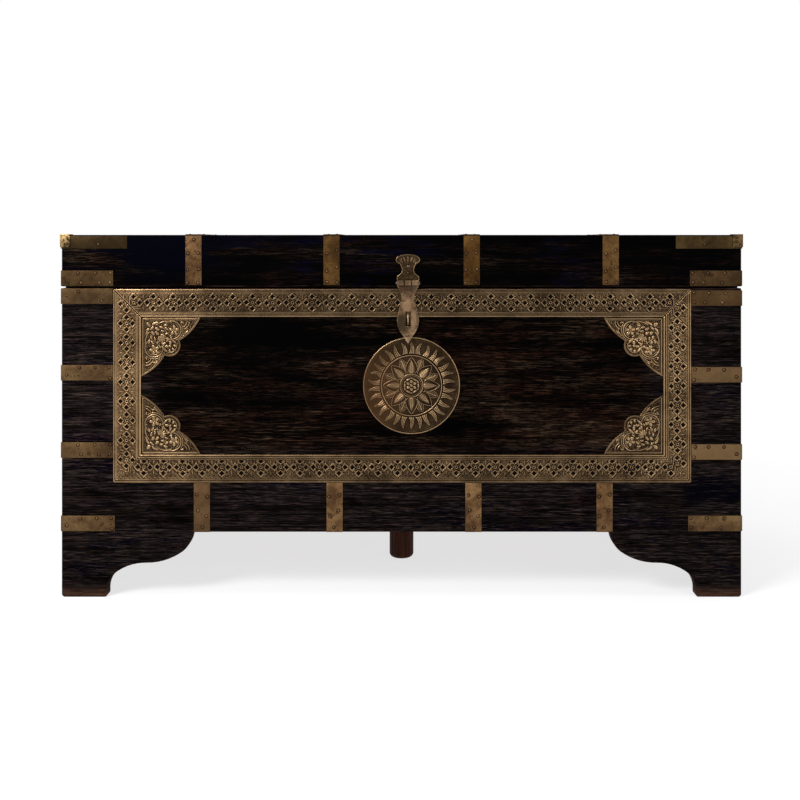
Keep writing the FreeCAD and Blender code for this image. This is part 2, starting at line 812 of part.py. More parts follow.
upper_ends = ("hasp_waist_half", "hasp_half_width", "hasp_shoulder", "hasp_waist")
upper_via = between(*upper_ends, upper_share)
belly_ends = ("hasp_waist_half", "hasp_half_width", "hasp_waist", "hasp_belly")
belly_via = between(*belly_ends, belly_share)
taper_ends = ("hasp_tip_half", "hasp_half_width", "hasp_belly", "hasp_fold")
taper_via = between(*taper_ends, taper_share)
hasp_face = new_body("hasp_face")
pad(hasp_face, "XZ_Plane", [[
    ("-hasp_half_width", "-hasp_shoulder"),
    ("-hasp_waist_half", "-hasp_waist", other_side(upper_via)),
    ("-hasp_half_width", "-hasp_belly", other_side(belly_via)),
    ("-hasp_tip_half", "-hasp_fold", other_side(taper_via)),
    ("0", "-hasp_length"),
    ("hasp_tip_half", "-hasp_fold"),
    ("hasp_half_width", "-hasp_belly", taper_via),
    ("hasp_waist_half", "-hasp_waist", belly_via),
    ("hasp_half_width", "-hasp_shoulder", upper_via),
    ("hasp_middle_width / 2", "-hasp_shoulder"),
    ("hasp_middle_width / 2", "0"),
    ("-hasp_middle_width / 2", "0"),
    ("-hasp_middle_width / 2", "-hasp_shoulder"),
]], thick="4 * hasp_tip_out")
move(hasp_face, y="2 * hasp_tip_out")
hasp_side = new_body("hasp_side")
pad(hasp_side, "YZ_Plane", [[
    ("hasp_thick / 2", "0"),
    ("-hasp_thick / 2", "0"),
    ("-hasp_thick / 2", "-hasp_fold"),
    ("-hasp_tip_out - hasp_thick / 2", "-hasp_length"),
    ("-hasp_tip_out + hasp_thick / 2", "-hasp_length"),
    ("hasp_thick / 2", "-hasp_fold"),
]], thick="4 * hasp_half_width", start="-2 * hasp_half_width")
hasp_blank = doc.addObject("Part::Common", "hasp_blank")
hasp_blank.Base = hasp_face
hasp_blank.Tool = hasp_side
knuckle_radii = ("hasp_knuckle_radius", "hasp_pin_radius + pin_clearance")
middle_place = ("-hasp_middle_width / 2", "0", "0")
middle_sizes = (*knuckle_radii, "hasp_middle_width")
hasp_knuckle, hasp_bore = knuckle("hasp_knuckle", *middle_place, *middle_sizes)
slot_cut = block(
    "hasp_slot_cut",
    ("-hasp_slot_width / 2", "-hasp_thick", "-hasp_belly - hasp_slot_height / 2"),
    ("hasp_slot_width / 2", "hasp_thick", "-hasp_belly + hasp_slot_height / 2"),
)
hasp_solid = join("hasp_solid", [hasp_blank, hasp_knuckle])
hasp = cut("hasp", hasp_solid, join("hasp_cuts", [hasp_bore, slot_cut]))
node(hasp, "hasp")
move(hasp, "hasp_shift", hasp_y, hasp_axis)

# The upper plate: an oval head, a neck and a flare, with the places of their curves in shares
head_low_share = (0.86, 0.49)
head_high_share = (0.78, 0.63)
flare_share = (0.49, 0.49)
head_rise = "(leaf_head_height - leaf_neck_top)"
head_low = (
    "leaf_head_half * %g" % head_low_share[0],
    "leaf_neck_top + %s * %g" % (head_rise, head_low_share[1]),
)
head_high = (
    "leaf_head_half * %g" % head_high_share[0],
    "leaf_head_height + (leaf_top - leaf_head_height) * %g" % head_high_share[1],
)
flare_via = (
    "leaf_neck_half + (leaf_flare_half - leaf_neck_half) * %g" % flare_share[0],
    "leaf_flare_top + (leaf_neck_base - leaf_flare_top) * %g" % flare_share[1],
)
leaf_plate = new_body("hasp_leaf_plate")
pad(leaf_plate, "XZ_Plane", [[
    ("leaf_flare_half", "hasp_shoulder"),
    ("leaf_flare_half", "leaf_flare_top"),
    ("leaf_neck_half", "leaf_neck_base", flare_via),
    ("leaf_neck_half", "leaf_neck_top"),
    ("leaf_head_half", "leaf_head_height", head_low),
    ("0", "leaf_top", head_high),
    ("-leaf_head_half", "leaf_head_height", other_side(head_high)),
    ("-leaf_neck_half", "leaf_neck_top", other_side(head_low)),
    ("-leaf_neck_half", "leaf_neck_base"),
    ("-leaf_flare_half", "leaf_flare_top", other_side(flare_via)),
    ("-leaf_flare_half", "hasp_shoulder"),
]], thick="hasp_thick")
move(leaf_plate, y="hasp_axis_out")
outer_width = "(hasp_barrel_width / 2 - hasp_middle_width / 2 - knuckle_clearance)"
leaf_parts = [leaf_plate]
leaf_bores = []
right_knuckle = "hasp_middle_width / 2 + knuckle_clearance"
for name, start in (("left", "-hasp_barrel_width / 2"), ("right", right_knuckle)):
    knuckle_sizes = (*knuckle_radii, outer_width)
    shell, bore = knuckle("hasp_%s_knuckle" % name, start, "0", "0", *knuckle_sizes)
    tab_low = (start, "hasp_axis_out - hasp_thick", "0")
    tab_high = ("%s + %s" % (start, outer_width), "hasp_axis_out", "hasp_shoulder")
    leaf_parts += [shell, block("hasp_%s_tab" % name, tab_low, tab_high)]
    leaf_bores.append(bore)
plate_solid = join("hasp_plate_solid", leaf_parts)
hasp_plate = cut("hasp_plate", plate_solid, join("hasp_plate_bores", leaf_bores))
node(hasp_plate, "hasp_plate")
move(hasp_plate, "hasp_shift", hasp_y, hasp_axis)


# A hinge pin along X with a head at each end.
def headed_pin(name, length, radius, head_radius, head_thick):
    start, end = "-%s / 2" % length, "%s / 2" % length
    head_start = "%s - %s" % (start, head_thick)
    return join(name, [
        bar(name + "_rod", "X", (start, "0", "0"), radius, length),
        bar(name + "_head", "X", (head_start, "0", "0"), head_radius, head_thick),
        bar(name + "_foot", "X", (end, "0", "0"), head_radius, head_thick),
    ])


pin_sizes = ("hasp_barrel_width", "hasp_pin_radius", "hasp_head_radius", "hasp_head_thick")
hasp_pin = node(headed_pin("hasp_pin", *pin_sizes), "hasp_pin")
move(hasp_pin, "hasp_shift", hasp_y, hasp_axis)

staple = node(new_body("staple"), "staple")
nose = "-staple_out + staple_height / 2"
eye = (("2 * staple_eye_radius - staple_out", "0"), "staple_eye_radius")
staple_outline = [
    ("0", "-staple_height / 2"),
    ("0", "staple_height / 2"),
    (nose, "staple_height / 2"),
    (nose, "-staple_height / 2", ("-staple_out", "0")),
]
staple_sizes = {"thick": "staple_thick", "start": "-staple_thick / 2"}
pad(staple, "YZ_Plane", [staple_outline], [eye], **staple_sizes)
move(staple, "hasp_shift", "-" + half_depth, staple_middle)

# Lid hinges, on the back of the chest. The pins run just behind the back boards, in the middle
# of the seam. The outer two hinges stand at a share of the width from the middle.
hinge_place_shares = {"left": -0.205, "middle": 0, "right": 0.205}
hinge_y = "(chest_depth / 2 + hinge_out)"
hinge_z = "(%s + seam_gap / 2)" % rim
hinge_far = "chest_depth / 2 + hinge_thick"
lower_edge = "%s - hinge_radius - knuckle_clearance" % hinge_z
upper_edge = "%s + hinge_radius + knuckle_clearance" % hinge_z
hinge_radii = ("hinge_radius", "hinge_pin_radius + pin_clearance")
side_width = "(hinge_width / 2 - hinge_knuckle / 2 - knuckle_clearance)"
pin_sizes = ("hinge_width", "hinge_pin_radius", "hinge_head_radius", "hinge_head_thick")
lower_leaves = []
upper_leaves = []
hinge_pins = []
for name, share in hinge_place_shares.items():
    x = "chest_width * %g" % share
    left, right = x + " - hinge_width / 2", x + " + hinge_width / 2"
    middle, middle_end = x + " - hinge_knuckle / 2", x + " + hinge_knuckle / 2"
    plate_low = (left, half_depth, hinge_z + " - hinge_leaf")
    lower = [block(name + "_lower_plate", plate_low, (right, hinge_far, lower_edge))]
    lower_bores = []
    for tag, start in (("left", left), ("right", middle_end + " + knuckle_clearance")):
        label = "%s_lower_%s" % (name, tag)
        shell, bore = knuckle(label, start, hinge_y, hinge_z, *hinge_radii, side_width)
        tab_end = "%s + %s" % (start, side_width)
        tab_low, tab_high = (start, half_depth, lower_edge), (tab_end, hinge_far, hinge_z)
        lower += [shell, block(label + "_tab", tab_low, tab_high)]
        lower_bores.append(bore)
    lower_solid = join(name + "_lower_solid", lower)
    lower_leaf = cut(name + "_lower_leaf", lower_solid, join(name + "_lower_bores", lower_bores))
    lower_leaves.append(lower_leaf)
    label = name + "_upper"
    shell, bore = knuckle(label, middle, hinge_y, hinge_z, *hinge_radii, "hinge_knuckle")
    plate_high = (right, hinge_far, hinge_z + " + hinge_leaf")
    upper = [
        block(label + "_plate", (left, half_depth, upper_edge), plate_high),
        block(label + "_tab", (middle, half_depth, hinge_z), (middle_end, hinge_far, upper_edge)),
        shell,
    ]
    upper_leaves.append(cut(label + "_leaf", join(label + "_solid", upper), bore))
    pin = headed_pin(name + "_hinge_pin", *pin_sizes)
    move(pin, x, hinge_y, hinge_z)
    hinge_pins.append(pin)
node(group("hinge_lower_leaves", lower_leaves), "hinge_lower_leaves")
node(group("hinge_upper_leaves", upper_leaves), "hinge_upper_leaves")
node(group("hinge_pins", hinge_pins), "hinge_pins")


# Bail handles. The bail hangs from two ears on its plate, in a plane beside the side board.
def handle_plate(label, sign):
    edge = "%schest_width / 2" % sign
    outward = "-" if sign else "+"
    xs = [edge, "%s %s handle_plate_thick" % (edge, outward), "%s %s handle_out" % (edge, outward)]
    plate_x = sorted(xs[:2], key=value)
    ear_x = sorted([xs[0], xs[2]], key=value)
    low = (plate_x[0], "-handle_plate_length / 2", "handle_height - handle_plate_height / 2")
    high = (plate_x[1], "handle_plate_length / 2", "handle_height + handle_plate_height / 2")
    parts = [block(label + "_back", low, high)]
    bores = []
    for tag, place in (("front", "-handle_ear_place"), ("rear", "handle_ear_place")):
        y = place + " - handle_ear_width / 2"
        ear = "%s_%s_ear" % (label, tag)
        low = (ear_x[0], y, "handle_height - handle_ear_radius")
        high = (ear_x[1], y + " + handle_ear_width", "handle_height + handle_ear_radius")
        parts.append(block(ear, low, high))
        eye_place = (xs[2], y, "handle_height")
        parts.append(bar(ear + "_eye", "Y", eye_place, "handle_ear_radius", "handle_ear_width"))
        bore_place = (xs[2], y + " - fit_gap", "handle_height")
        bore_sizes = ("handle_rod_radius + pin_clearance", "handle_ear_width + 2 * fit_gap")
        bores.append(bar(ear + "_bore", "Y", bore_place, *bore_sizes))
    return cut(label, join(label + "_solid", parts), join(label + "_bores", bores))


# The line of a bail: a pin at each end, two arms and a grip, with round bends.
def bail(label, sign):
    body = new_body(label)
    path = new_sketch(body, "YZ_Plane")
    rod_end = "handle_ear_place + handle_ear_width / 2 + handle_pin_over"
    pin_end = value(rod_end)
    arm = value("handle_arm_place")
    drop = value("handle_drop")
    top, low = value("handle_top_bend"), value("handle_bend")
    share = math.cos(math.radians(45))
    for side in (-1, 1):
        high_sag, low_sag = top * (1 - share), low * (1 - share)
        top_arc = [(arm + top, 0), (arm + high_sag, -high_sag), (arm, -top)]
        low_arc = [(arm, low - drop), (arm - low_sag, low_sag - drop), (arm - low, -drop)]
        spots = [FreeCAD.Vector(side * y, z, 0) for y, z in [(pin_end, 0)] + top_arc + low_arc]
        path.addGeometry(Part.LineSegment(spots[0], spots[1]), False)
        path.addGeometry(Part.Arc(spots[1], spots[2], spots[3]), False)
        path.addGeometry(Part.LineSegment(spots[3], spots[4]), False)
        path.addGeometry(Part.Arc(spots[4], spots[5], spots[6]), False)
    grip = [FreeCAD.Vector(side * (arm - low), -drop, 0) for side in (-1, 1)]
    path.addGeometry(Part.LineSegment(*grip), False)
    section = new_sketch(body, "XZ_Plane")
    bind(section, "AttachmentOffset.Base.z", rod_end)
    add_circle(section, ("0", "0"), "handle_rod_radius")
    pipe = body.newObject("PartDesign::AdditivePipe", label + "_pipe")
    pipe.Profile = section
    pipe.Spine = (path, ["Edge%d" % number for number in range(1, path.GeometryCount + 1)])
    outward = "-" if sign else "+"
    move(body, "%schest_width / 2 %s handle_out" % (sign, outward), "0", "handle_height")
    return body


for name, sign in (("left", "-"), ("right", "")):
    node(handle_plate(name + "_handle_plate", sign), name + "_handle_plate")
    node(bail(name + "_handle", sign), name + "_handle")


# A dome-headed nail that stands on a surface.
def nail(place, normal):
    base, rise = value("nail_radius"), value("nail_rise")
    sphere = (base * base + rise * rise) / (2 * rise)
    centre = FreeCAD.Vector(*place) - FreeCAD.Vector(*normal) * (sphere - rise)
    lowest = math.degrees(math.asin((sphere - rise) / sphere))
    return Part.makeSphere(sphere, centre, FreeCAD.Vector(*normal), lowest, 90, 360)


# Nails in staggered pairs along a strap. start and end are the middles of its ends, across is
# the direction of its width.
def nail_line(start, end, across, normal, width):
    start, end = FreeCAD.Vector(*start), FreeCAD.Vector(*end)
    run = end - start
    inset = value("nail_inset")
    steps = max(1, round((run.Length - 2 * inset) / value("nail_pitch")))
    along = FreeCAD.Vector(run).normalize()
    side = FreeCAD.Vector(*across) * (width / 2 - inset)
    nails = []
    for step in range(steps + 1):
        reach = inset + (run.Length - 2 * inset) * step / steps
        for way in (-1, 1):
            stagger = along * (inset / 4 * way)
            if 0 < step < steps:
                stagger = stagger * 2
            nails.append(nail(start + along * reach + side * way + stagger, normal))
    return nails


def feature(label, shapes):
    thing = doc.addObject("Part::Feature", label)
    thing.Shape = Part.makeCompound(shapes)
    return node(thing, label)


x_edge, y_edge = value(half_width), value(half_depth)
thick = value("strap_thick")
strap_return = value("strap_return")
chest_nails = []
lid_nails = []
for a, b, side, end in corner_signs:
    sx, sy = (-1 if side else 1), (-1 if end else 1)
    face_x, face_y = sx * (x_edge + thick), sy * (y_edge + thick)
    straps = []
    for share in strap_level_shares:
        base, leg = strap_place(a, share)
        straps.append((chest_nails, base, "strap_width", leg, "0"))
    straps.append((lid_nails, lid_strap_low, "strap_width", "lid_strap_length", "0"))
    straps.append((lid_nails, crown_base, "crown_strap_width", "crown_strap_length", "cap_size"))
    for nails, *sizes_of_strap in straps:
        base, width, leg, begin = [value(formula) for formula in sizes_of_strap]
        z = base + width / 2
        front = ((sx * (x_edge - begin), face_y, z), (sx * (x_edge - leg), face_y, z))
        flank = ((face_x, sy * (y_edge - begin), z), (face_x, sy * (y_edge - strap_return), z))
        nails += nail_line(*front, (0, 0, 1), (0, sy, 0), width)
        nails += nail_line(*flank, (0, 0, 1), (sx, 0, 0), width)

# Nails of the bands over the lid and of the strips on the rail
band_width = value("band_width")
band_low, band_high = value(band_base), value("chest_height")
top_z = band_high + thick
for share in lid_band_shares:
    x = share * value("chest_width")
    for way in (-1, 1):
        y = way * (y_edge + thick)
        ends = ((x, y, band_low), (x, y, band_high))
        lid_nails += nail_line(*ends, (1, 0, 0), (0, way, 0), band_width)
    ends = ((x, -y_edge, top_z), (x, y_edge, top_z))
    lid_nails += nail_line(*ends, (1, 0, 0), (0, 0, 1), band_width)
rail_low, rail_high = value("rail_height"), value(rail_top)
for share in rail_band_shares:
    x, y = share * value("chest_width"), -y_edge - thick
    ends = ((x, y, rail_low), (x, y, rail_high))
    chest_nails += nail_line(*ends, (1, 0, 0), (0, -1, 0), band_width)

# Nails of the hinge leaves and of the handle plates
far_y = value(hinge_far)
leaf_spans = [
    (chest_nails, value(hinge_z + " - hinge_leaf"), value(lower_edge)),
    (lid_nails, value(upper_edge), value(hinge_z + " + hinge_leaf")),
]
for share in hinge_place_shares.values():
    x = share * value("chest_width")
    reach = value("hinge_width") / 2
    for nails, low, high in leaf_spans:
        middle = (low + high) / 2
        ends = ((x - reach, far_y, middle), (x + reach, far_y, middle))
        nails += nail_line(*ends, (0, 0, 1), (0, 1, 0), high - low)
for way in (-1, 1):
    x = way * value("chest_width / 2 + handle_plate_thick")
    y, z = value("handle_plate_length") / 2 - value("nail_inset"), value("handle_height")
    rise = value("handle_plate_height") / 2 - value("nail_inset")
    for dy in (-y, 0, y):
        chest_nails += [nail((x, dy, z + dz), (way, 0, 0)) for dz in (-rise, rise)]
feature("chest_nails", chest_nails)
feature("lid_nails", lid_nails)

# Rivets of the hasp's upper plate
plate_y = value("-chest_depth / 2 - hasp_thick")
rivet_spots = [
    ("-leaf_neck_half", "leaf_head_height"),
    ("leaf_neck_half", "leaf_head_height"),
    ("0", "(leaf_flare_top + leaf_neck_base) / 2"),
]
rivets = []
for dx, dz in rivet_spots:
    spot = (value("hasp_shift + %s" % dx), plate_y, value("%s + %s" % (hasp_axis, dz)))
    rivets.append(nail(spot, (0, -1, 0)))
feature("hasp_rivets", rivets)

doc.recompute()

for thing in doc.Objects:
    if "Invalid" in thing.State or "Error" in thing.State:
        raise RuntimeError("%s is %s" % (thing.Name, thing.State))
for thing in nodes:
    if thing.Shape.isNull() or not thing.Shape.isValid() or not thing.Shape.Solids:
        raise RuntimeError("%s has no valid solid" % thing.Label)

os.makedirs("parts", exist_ok=True)
for thing in nodes:
    thing.Shape.exportStep("parts/%s.step" % thing.Label)
    print(thing.Label, len(thing.Shape.Solids), round(thing.Shape.Volume))
print(len(nodes), "nodes")
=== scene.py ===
import json
import math
import bmesh
import bpy
import numpy as np
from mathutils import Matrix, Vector


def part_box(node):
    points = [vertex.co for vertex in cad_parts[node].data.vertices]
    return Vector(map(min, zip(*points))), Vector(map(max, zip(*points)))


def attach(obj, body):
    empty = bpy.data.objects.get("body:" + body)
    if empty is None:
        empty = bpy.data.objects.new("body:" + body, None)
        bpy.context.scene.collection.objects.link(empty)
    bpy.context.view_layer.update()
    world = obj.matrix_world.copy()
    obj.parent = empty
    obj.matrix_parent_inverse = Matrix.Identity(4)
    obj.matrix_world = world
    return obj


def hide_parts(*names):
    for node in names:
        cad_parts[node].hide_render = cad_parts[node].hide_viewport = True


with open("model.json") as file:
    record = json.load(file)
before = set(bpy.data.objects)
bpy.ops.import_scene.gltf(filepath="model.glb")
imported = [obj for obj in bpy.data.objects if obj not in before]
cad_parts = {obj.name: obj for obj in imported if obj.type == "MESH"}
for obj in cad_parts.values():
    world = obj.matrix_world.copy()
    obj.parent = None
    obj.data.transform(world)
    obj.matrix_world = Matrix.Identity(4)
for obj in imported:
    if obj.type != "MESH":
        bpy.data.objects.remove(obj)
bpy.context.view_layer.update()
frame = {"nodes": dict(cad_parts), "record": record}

# An arabic dowry chest: dark brushed planks, embossed and pierced brass, domed nails.
# Blender works in metres. The relief is drawn in millimetres and scaled when a mesh is made.
mm = 0.001
bodyOf = {node: body for body, nodes in frame["record"]["behaviour"]["bodies"].items() for node in nodes}


# shading
class Wire:
    # one socket of a material, so that shader maths reads as maths
    def __init__(self, finish, socket):
        self.finish, self.socket = finish, socket

    def maths(self, operation, *inputs):
        return self.finish.add("Math", {"operation": operation}, dict(enumerate(inputs)))

    def __add__(self, other):
        return self.maths("ADD", self, other)

    def __mul__(self, other):
        return self.maths("MULTIPLY", self, other)

    def __sub__(self, other):
        return self.maths("SUBTRACT", self, other)

    def __rsub__(self, other):
        return self.maths("SUBTRACT", other, self)

    __radd__, __rmul__ = __add__, __mul__

    def within(self, low, high):  # 0 below low, 1 above high, smooth between
        return self.finish.add("MapRange", {"interpolation_type": "SMOOTHSTEP"},
                               {"Value": self, "From Min": low, "From Max": high})


# three numbers become a colour with alpha; a wire stays as it is
def rgba(colour):
    return colour if isinstance(colour, Wire) else (*colour, 1)


class Finish:
    def __init__(self, name, **constants):
        self.material = bpy.data.materials.new(name)
        self.material.use_nodes = True
        self.tree = self.material.node_tree
        self.tree.nodes.clear()
        self.shader = self.tree.nodes.new("ShaderNodeBsdfPrincipled")
        surface = self.tree.nodes.new("ShaderNodeOutputMaterial")
        self.tree.links.new(self.shader.outputs[0], surface.inputs["Surface"])
        for socket, number in constants.items():
            self.shader.inputs[socket.replace("_", " ")].default_value = number

    # any node: its type, its settings, then the values or wires of its sockets
    def add(self, kind, settings=None, sockets=None, output=0):
        node = self.tree.nodes.new("ShaderNode" + kind)
        for key, setting in (settings or {}).items():
            if key == "stops":
                ramp = node.color_ramp
                while len(ramp.elements) < len(setting):
                    ramp.elements.new(0.5)
                for element, (place, colour) in zip(ramp.elements, setting):
                    element.position = place
                    element.color = rgba(colour)
            else:
                setattr(node, key, setting)
        for key, content in (sockets or {}).items():
            if isinstance(content, Wire):
                self.tree.links.new(content.socket, node.inputs[key])
            else:
                node.inputs[key].default_value = content
        return Wire(self, node.outputs[output])

    def place(self):
        return self.add("TexCoord", output="Object")

    def shifted(self, place, shift, stretch):
        moved = self.add("VectorMath", {"operation": "ADD"}, {0: place, 1: shift})
        return self.add("VectorMath", {"operation": "MULTIPLY"}, {0: moved, 1: stretch})

    def length(self, vector):
        return self.add("VectorMath", {"operation": "LENGTH"}, {0: vector}, output="Value")

    def axis(self, place, letter):
        return self.add("SeparateXYZ", {}, {"Vector": place}, output=letter)

    def noise(self, place, scale=1.0, detail=4.0, roughness=0.6, distortion=0.0):
        return self.add("TexNoise", {}, {"Vector": place, "Scale": scale, "Detail": detail,
                                         "Roughness": roughness, "Distortion": distortion})

    def ramp(self, value, stops):
        return self.add("ValToRGB", {"stops": stops}, {"Fac": value})

    def blend(self, share, first, second):
        return self.add("Mix", {"data_type": "RGBA"}, {0: share, 6: rgba(first), 7: rgba(second)}, output=2)

    # each layer is a share and a colour, laid over what is there
    def layered(self, tone, layers):
        for share, colour in layers:
            tone = self.blend(share, tone, colour)
        return tone

    # each stain or patch of painted light or shade has its middle, its reach as a stretch, its colour and its
    # strength
    def stainedAndShaded(self, tone, place, blot, stainsAndShading):
        for centre, stretch, colour, strength in stainsAndShading:
            away = self.length(self.shifted(place, [-c for c in centre], stretch))
            share = (1 - (away + (blot - 0.5) * 1.6).within(0.40, 1.25)) * strength
            tone = self.blend(share, tone, colour)
        return tone

    def bumps(self, height, distance, strength):
        self.feed(Normal=self.add("Bump", {}, {"Height": height, "Distance": distance, "Strength": strength}))

    def feed(self, **wires):
        for socket, wire in wires.items():
            self.tree.links.new(wire.socket, self.shader.inputs[socket.replace("_", " ")])


# finishes
darkWoodLook = {
    "black": (0.0003, 0.0002, 0.0002), "inky": (0.0005, 0.0007, 0.0040),
    "brown": (0.0066, 0.0033, 0.0022), "ash": (0.0068, 0.0050, 0.0054),
    "red": (0.0460, 0.0185, 0.0105), "tan": (0.0600, 0.0360, 0.0220),
    "grey": (0.0600, 0.0460, 0.0440), "worn": (0.070, 0.034, 0.022),
    # marks per metre across and along the grain
    "fibre": (1000, 38), "line": (820, 30), "dust": (820, 64), "grain": (430, 6),
    "band": (46, 6), "patch": (13, 5), "warmth": (34, 7),
    "sway": 0.002,                # how far the grain bends
    "gloss": 0.008,
    "panel": (0.44, 0.25, 0.52),  # half width, foot and head of the darker field inside the frame
    "panelEdge": 0.04,
    "soiled": (0.018, 0.036),     # the feet are worn below these heights
}


# stained and wire-brushed planks; the grain runs along one axis
def stainedWood(name, along, shift, wear=0.0, panel=False, density=0.02, ash=0.8, spread=0.85, navy=()):
    look = darkWoodLook
    wood = Finish(name, Specular_IOR_Level=look["gloss"])
    place = wood.place()
    sway = wood.noise(wood.shifted(place, shift, (6, 6, 6)), detail=2.0)
    bent = wood.add("VectorMath", {"operation": "MULTIPLY_ADD"},
                    {0: wood.add("CombineXYZ", {}, {axis: sway for axis in "XYZ" if axis != along}),
                     1: (look["sway"],) * 3, 2: place})

    def streaky(kind, start=bent, offset=0, detail=2.0, roughness=0.6):
        across, lengthwise = look[kind]
        stretch = [lengthwise if axis == along else across for axis in "XYZ"]
        return wood.noise(wood.shifted(start, [s + offset for s in shift], stretch), 1.0, detail, roughness)

    fibre, line, dust = streaky("fibre"), streaky("line", offset=7), streaky("dust")
    band, patch = streaky("band", detail=3.0), streaky("patch", place, detail=3.0)
    warmth, grain = streaky("warmth", place, 3), streaky("grain", offset=11, roughness=0.5)
    field = (band * 0.55 + patch * 0.45) * spread + (0.5 - 0.5 * spread + density)
    ashen = band.within(0.30, 0.50) * ash
    inky = patch.within(0.50, 0.58) * (1 - band.within(0.44, 0.60))
    if panel:
        halfWidth, foot, head = look["panel"]
        across, height, fade = wood.axis(place, "X"), wood.axis(place, "Z"), look["panelEdge"]
        level = across.within(-halfWidth, fade - halfWidth) * (1 - across.within(halfWidth - fade, halfWidth))
        upright = height.within(foot - 0.03, foot + 0.02) * (1 - height.within(head - 0.02, head + 0.03))
        middle = level * upright
        shade = 0.052 - across.within(-0.30, 0.45) * 0.034 + height.within(0.28, 0.46) * 0.045
        field = field - middle * shade
        ashen = ashen * (1 - middle)
        inky = inky * (1 - middle)
    marks = fibre.within(0.565, 0.605) * field.within(0.38, 0.58)
    lines = line.within(0.590, 0.630) * field.within(0.39, 0.58)
    ground = wood.blend(field.within(0.43, 0.62) * 0.85, look["black"], look["brown"])
    streaks = wood.blend(warmth.within(0.44, 0.58), look["red"], look["tan"])
    streaks = wood.blend(ashen * 0.75, streaks, look["grey"])
    layers = [
        (ashen, look["ash"]),
        (inky, look["inky"]),
        (dust.within(0.50, 0.62) * field.within(0.38, 0.60) * 0.26, streaks),
        (marks * (0.82 - ashen * 0.46), streaks),
        (lines * (0.60 - ashen * 0.30), streaks),
        (fibre.within(0.63, 0.68) * field.within(0.45, 0.56) * 0.8, look["tan"]),
        ((1 - line.within(0.37, 0.45)) * 0.9, look["black"]),
        ((1 - fibre.within(0.40, 0.50)) * ashen * 0.85, look["black"]),
        ((1 - grain.within(0.42, 0.50)) * 0.72, look["black"]),
    ]
    if wear:
        layers.append((fibre.within(0.35, 0.62) * wear, look["worn"]))
    for centre, stretch in navy:
        away = wood.length(wood.shifted(place, [-c for c in centre], stretch))
        spot = 1 - (away + (patch - 0.5) * 2.0 + (band - 0.5) * 1.5).within(0.45, 1.15)
        layers.append((spot * (0.92 - marks * 0.35), [c * 0.5 for c in look["inky"]]))
    foot = (1 - (wood.axis(place, "Z") + fibre * 0.03).within(*look["soiled"])) * 0.85
    layers.append((foot * (0.35 + line.within(0.4, 0.6) * 0.65), look["worn"]))
    wood.feed(Base_Color=wood.layered(ground, layers), Roughness=0.52 + band * 0.2)
    wood.bumps(fibre * 0.6 + line * 0.5, 0.0005, 0.7)
    return wood.material


bareWoodLook = {
    "tones": [(0.32, (0.060, 0.030, 0.016)), (0.66, (0.165, 0.092, 0.050))],
    "fine": (260.0, 5.0),     # marks per metre across and along the grain
    "broad": (34.0, 2.0),
}


# unstained boards inside the chest
def bareWood(name, along, shift):
    look = bareWoodLook
    wood = Finish(name, Specular_IOR_Level=0.25, Roughness=0.62)
    place = wood.place()
    fine, broad = ([look[kind][axis == along] for axis in "XYZ"] for kind in ("fine", "broad"))
    fibre = wood.noise(wood.shifted(place, shift, fine), detail=3.0)
    band = wood.noise(wood.shifted(place, shift, broad), detail=3.0, distortion=0.4)
    wood.feed(Base_Color=wood.ramp(fibre * 0.45 + band * 0.55, look["tones"]))
    wood.bumps(fibre, 0.0003, 0.6)
    return wood.material


# one noise through a ramp, for the turned foot and the felt pads
def plainFinish(name, stretch, detail, stops, **constants):
    plain = Finish(name, **constants)
    fibre = plain.noise(plain.shifted(plain.place(), (0, 0, 0), stretch), detail=detail)
    plain.feed(Base_Color=plain.ramp(fibre, stops))
    plain.bumps(fibre, 0.0003, 0.5)
    return plain.material


embossedLook = {
    # colours from the hollows to the crests, and the heights where each stands
    "stops": [(0.10, (0.0075, 0.0045, 0.0028)), (0.34, (0.040, 0.0205, 0.0090)),
              (0.56, (0.130, 0.0745, 0.0340)), (0.92, (0.480, 0.310, 0.160))],
    "verdigris": (0.75, 1.0, 0.62),
    "left": (-0.46, -0.27),   # where the tone of a long strip changes towards its ends
    "right": (0.34, 0.48),
    "metallic": 0.95,
}


# embossed brass: the hollows hold black dirt and painted shade, and the crests are worn bright with a painted
# highlight
def embossedBrass(name, light=1.0, rubbedAndHighlit=1.0, ends=None, stainsAndShading=()):
    look = embossedLook
    stops = [(spot, [c * light for c in colour]) for spot, colour in look["stops"]]
    stops[-1] = (stops[-1][0], [c * rubbedAndHighlit for c in stops[-1][1]])
    brass = Finish(name, Metallic=look["metallic"])
    place = brass.place()
    relief = brass.add("Attribute", {"attribute_name": "relief"}, output="Fac")
    cloud, blot = brass.noise(place, 22.0, 4.0), brass.noise(place, 110.0, 3.0)
    speck = brass.noise(place, 480.0, 2.0)
    level = relief + (cloud - 0.5) * 0.42 + (blot - 0.5) * 0.30 + (speck - 0.5) * 0.30
    tone = brass.ramp(level, stops)
    if ends:
        along = brass.axis(place, "X") + (cloud - 0.5) * 0.10
        left, right = (brass.ramp(level, [(spot, [c * gain for c in colour]) for spot, colour in stops])
                       for gain in ends)
        tone = brass.blend(1 - along.within(*look["left"]), tone, left)
        tone = brass.blend(along.within(*look["right"]), tone, right)
    green = [c * f for c, f in zip(stops[2][1], look["verdigris"])]
    tone = brass.blend(blot.within(0.55, 0.70) * 0.3, tone, green)
    brass.feed(Base_Color=brass.stainedAndShaded(tone, place, blot, stainsAndShading), Roughness=0.58 - level * 0.22)
    brass.bumps(speck + cloud * 0.6, 0.0002, 0.6)
    return brass.material


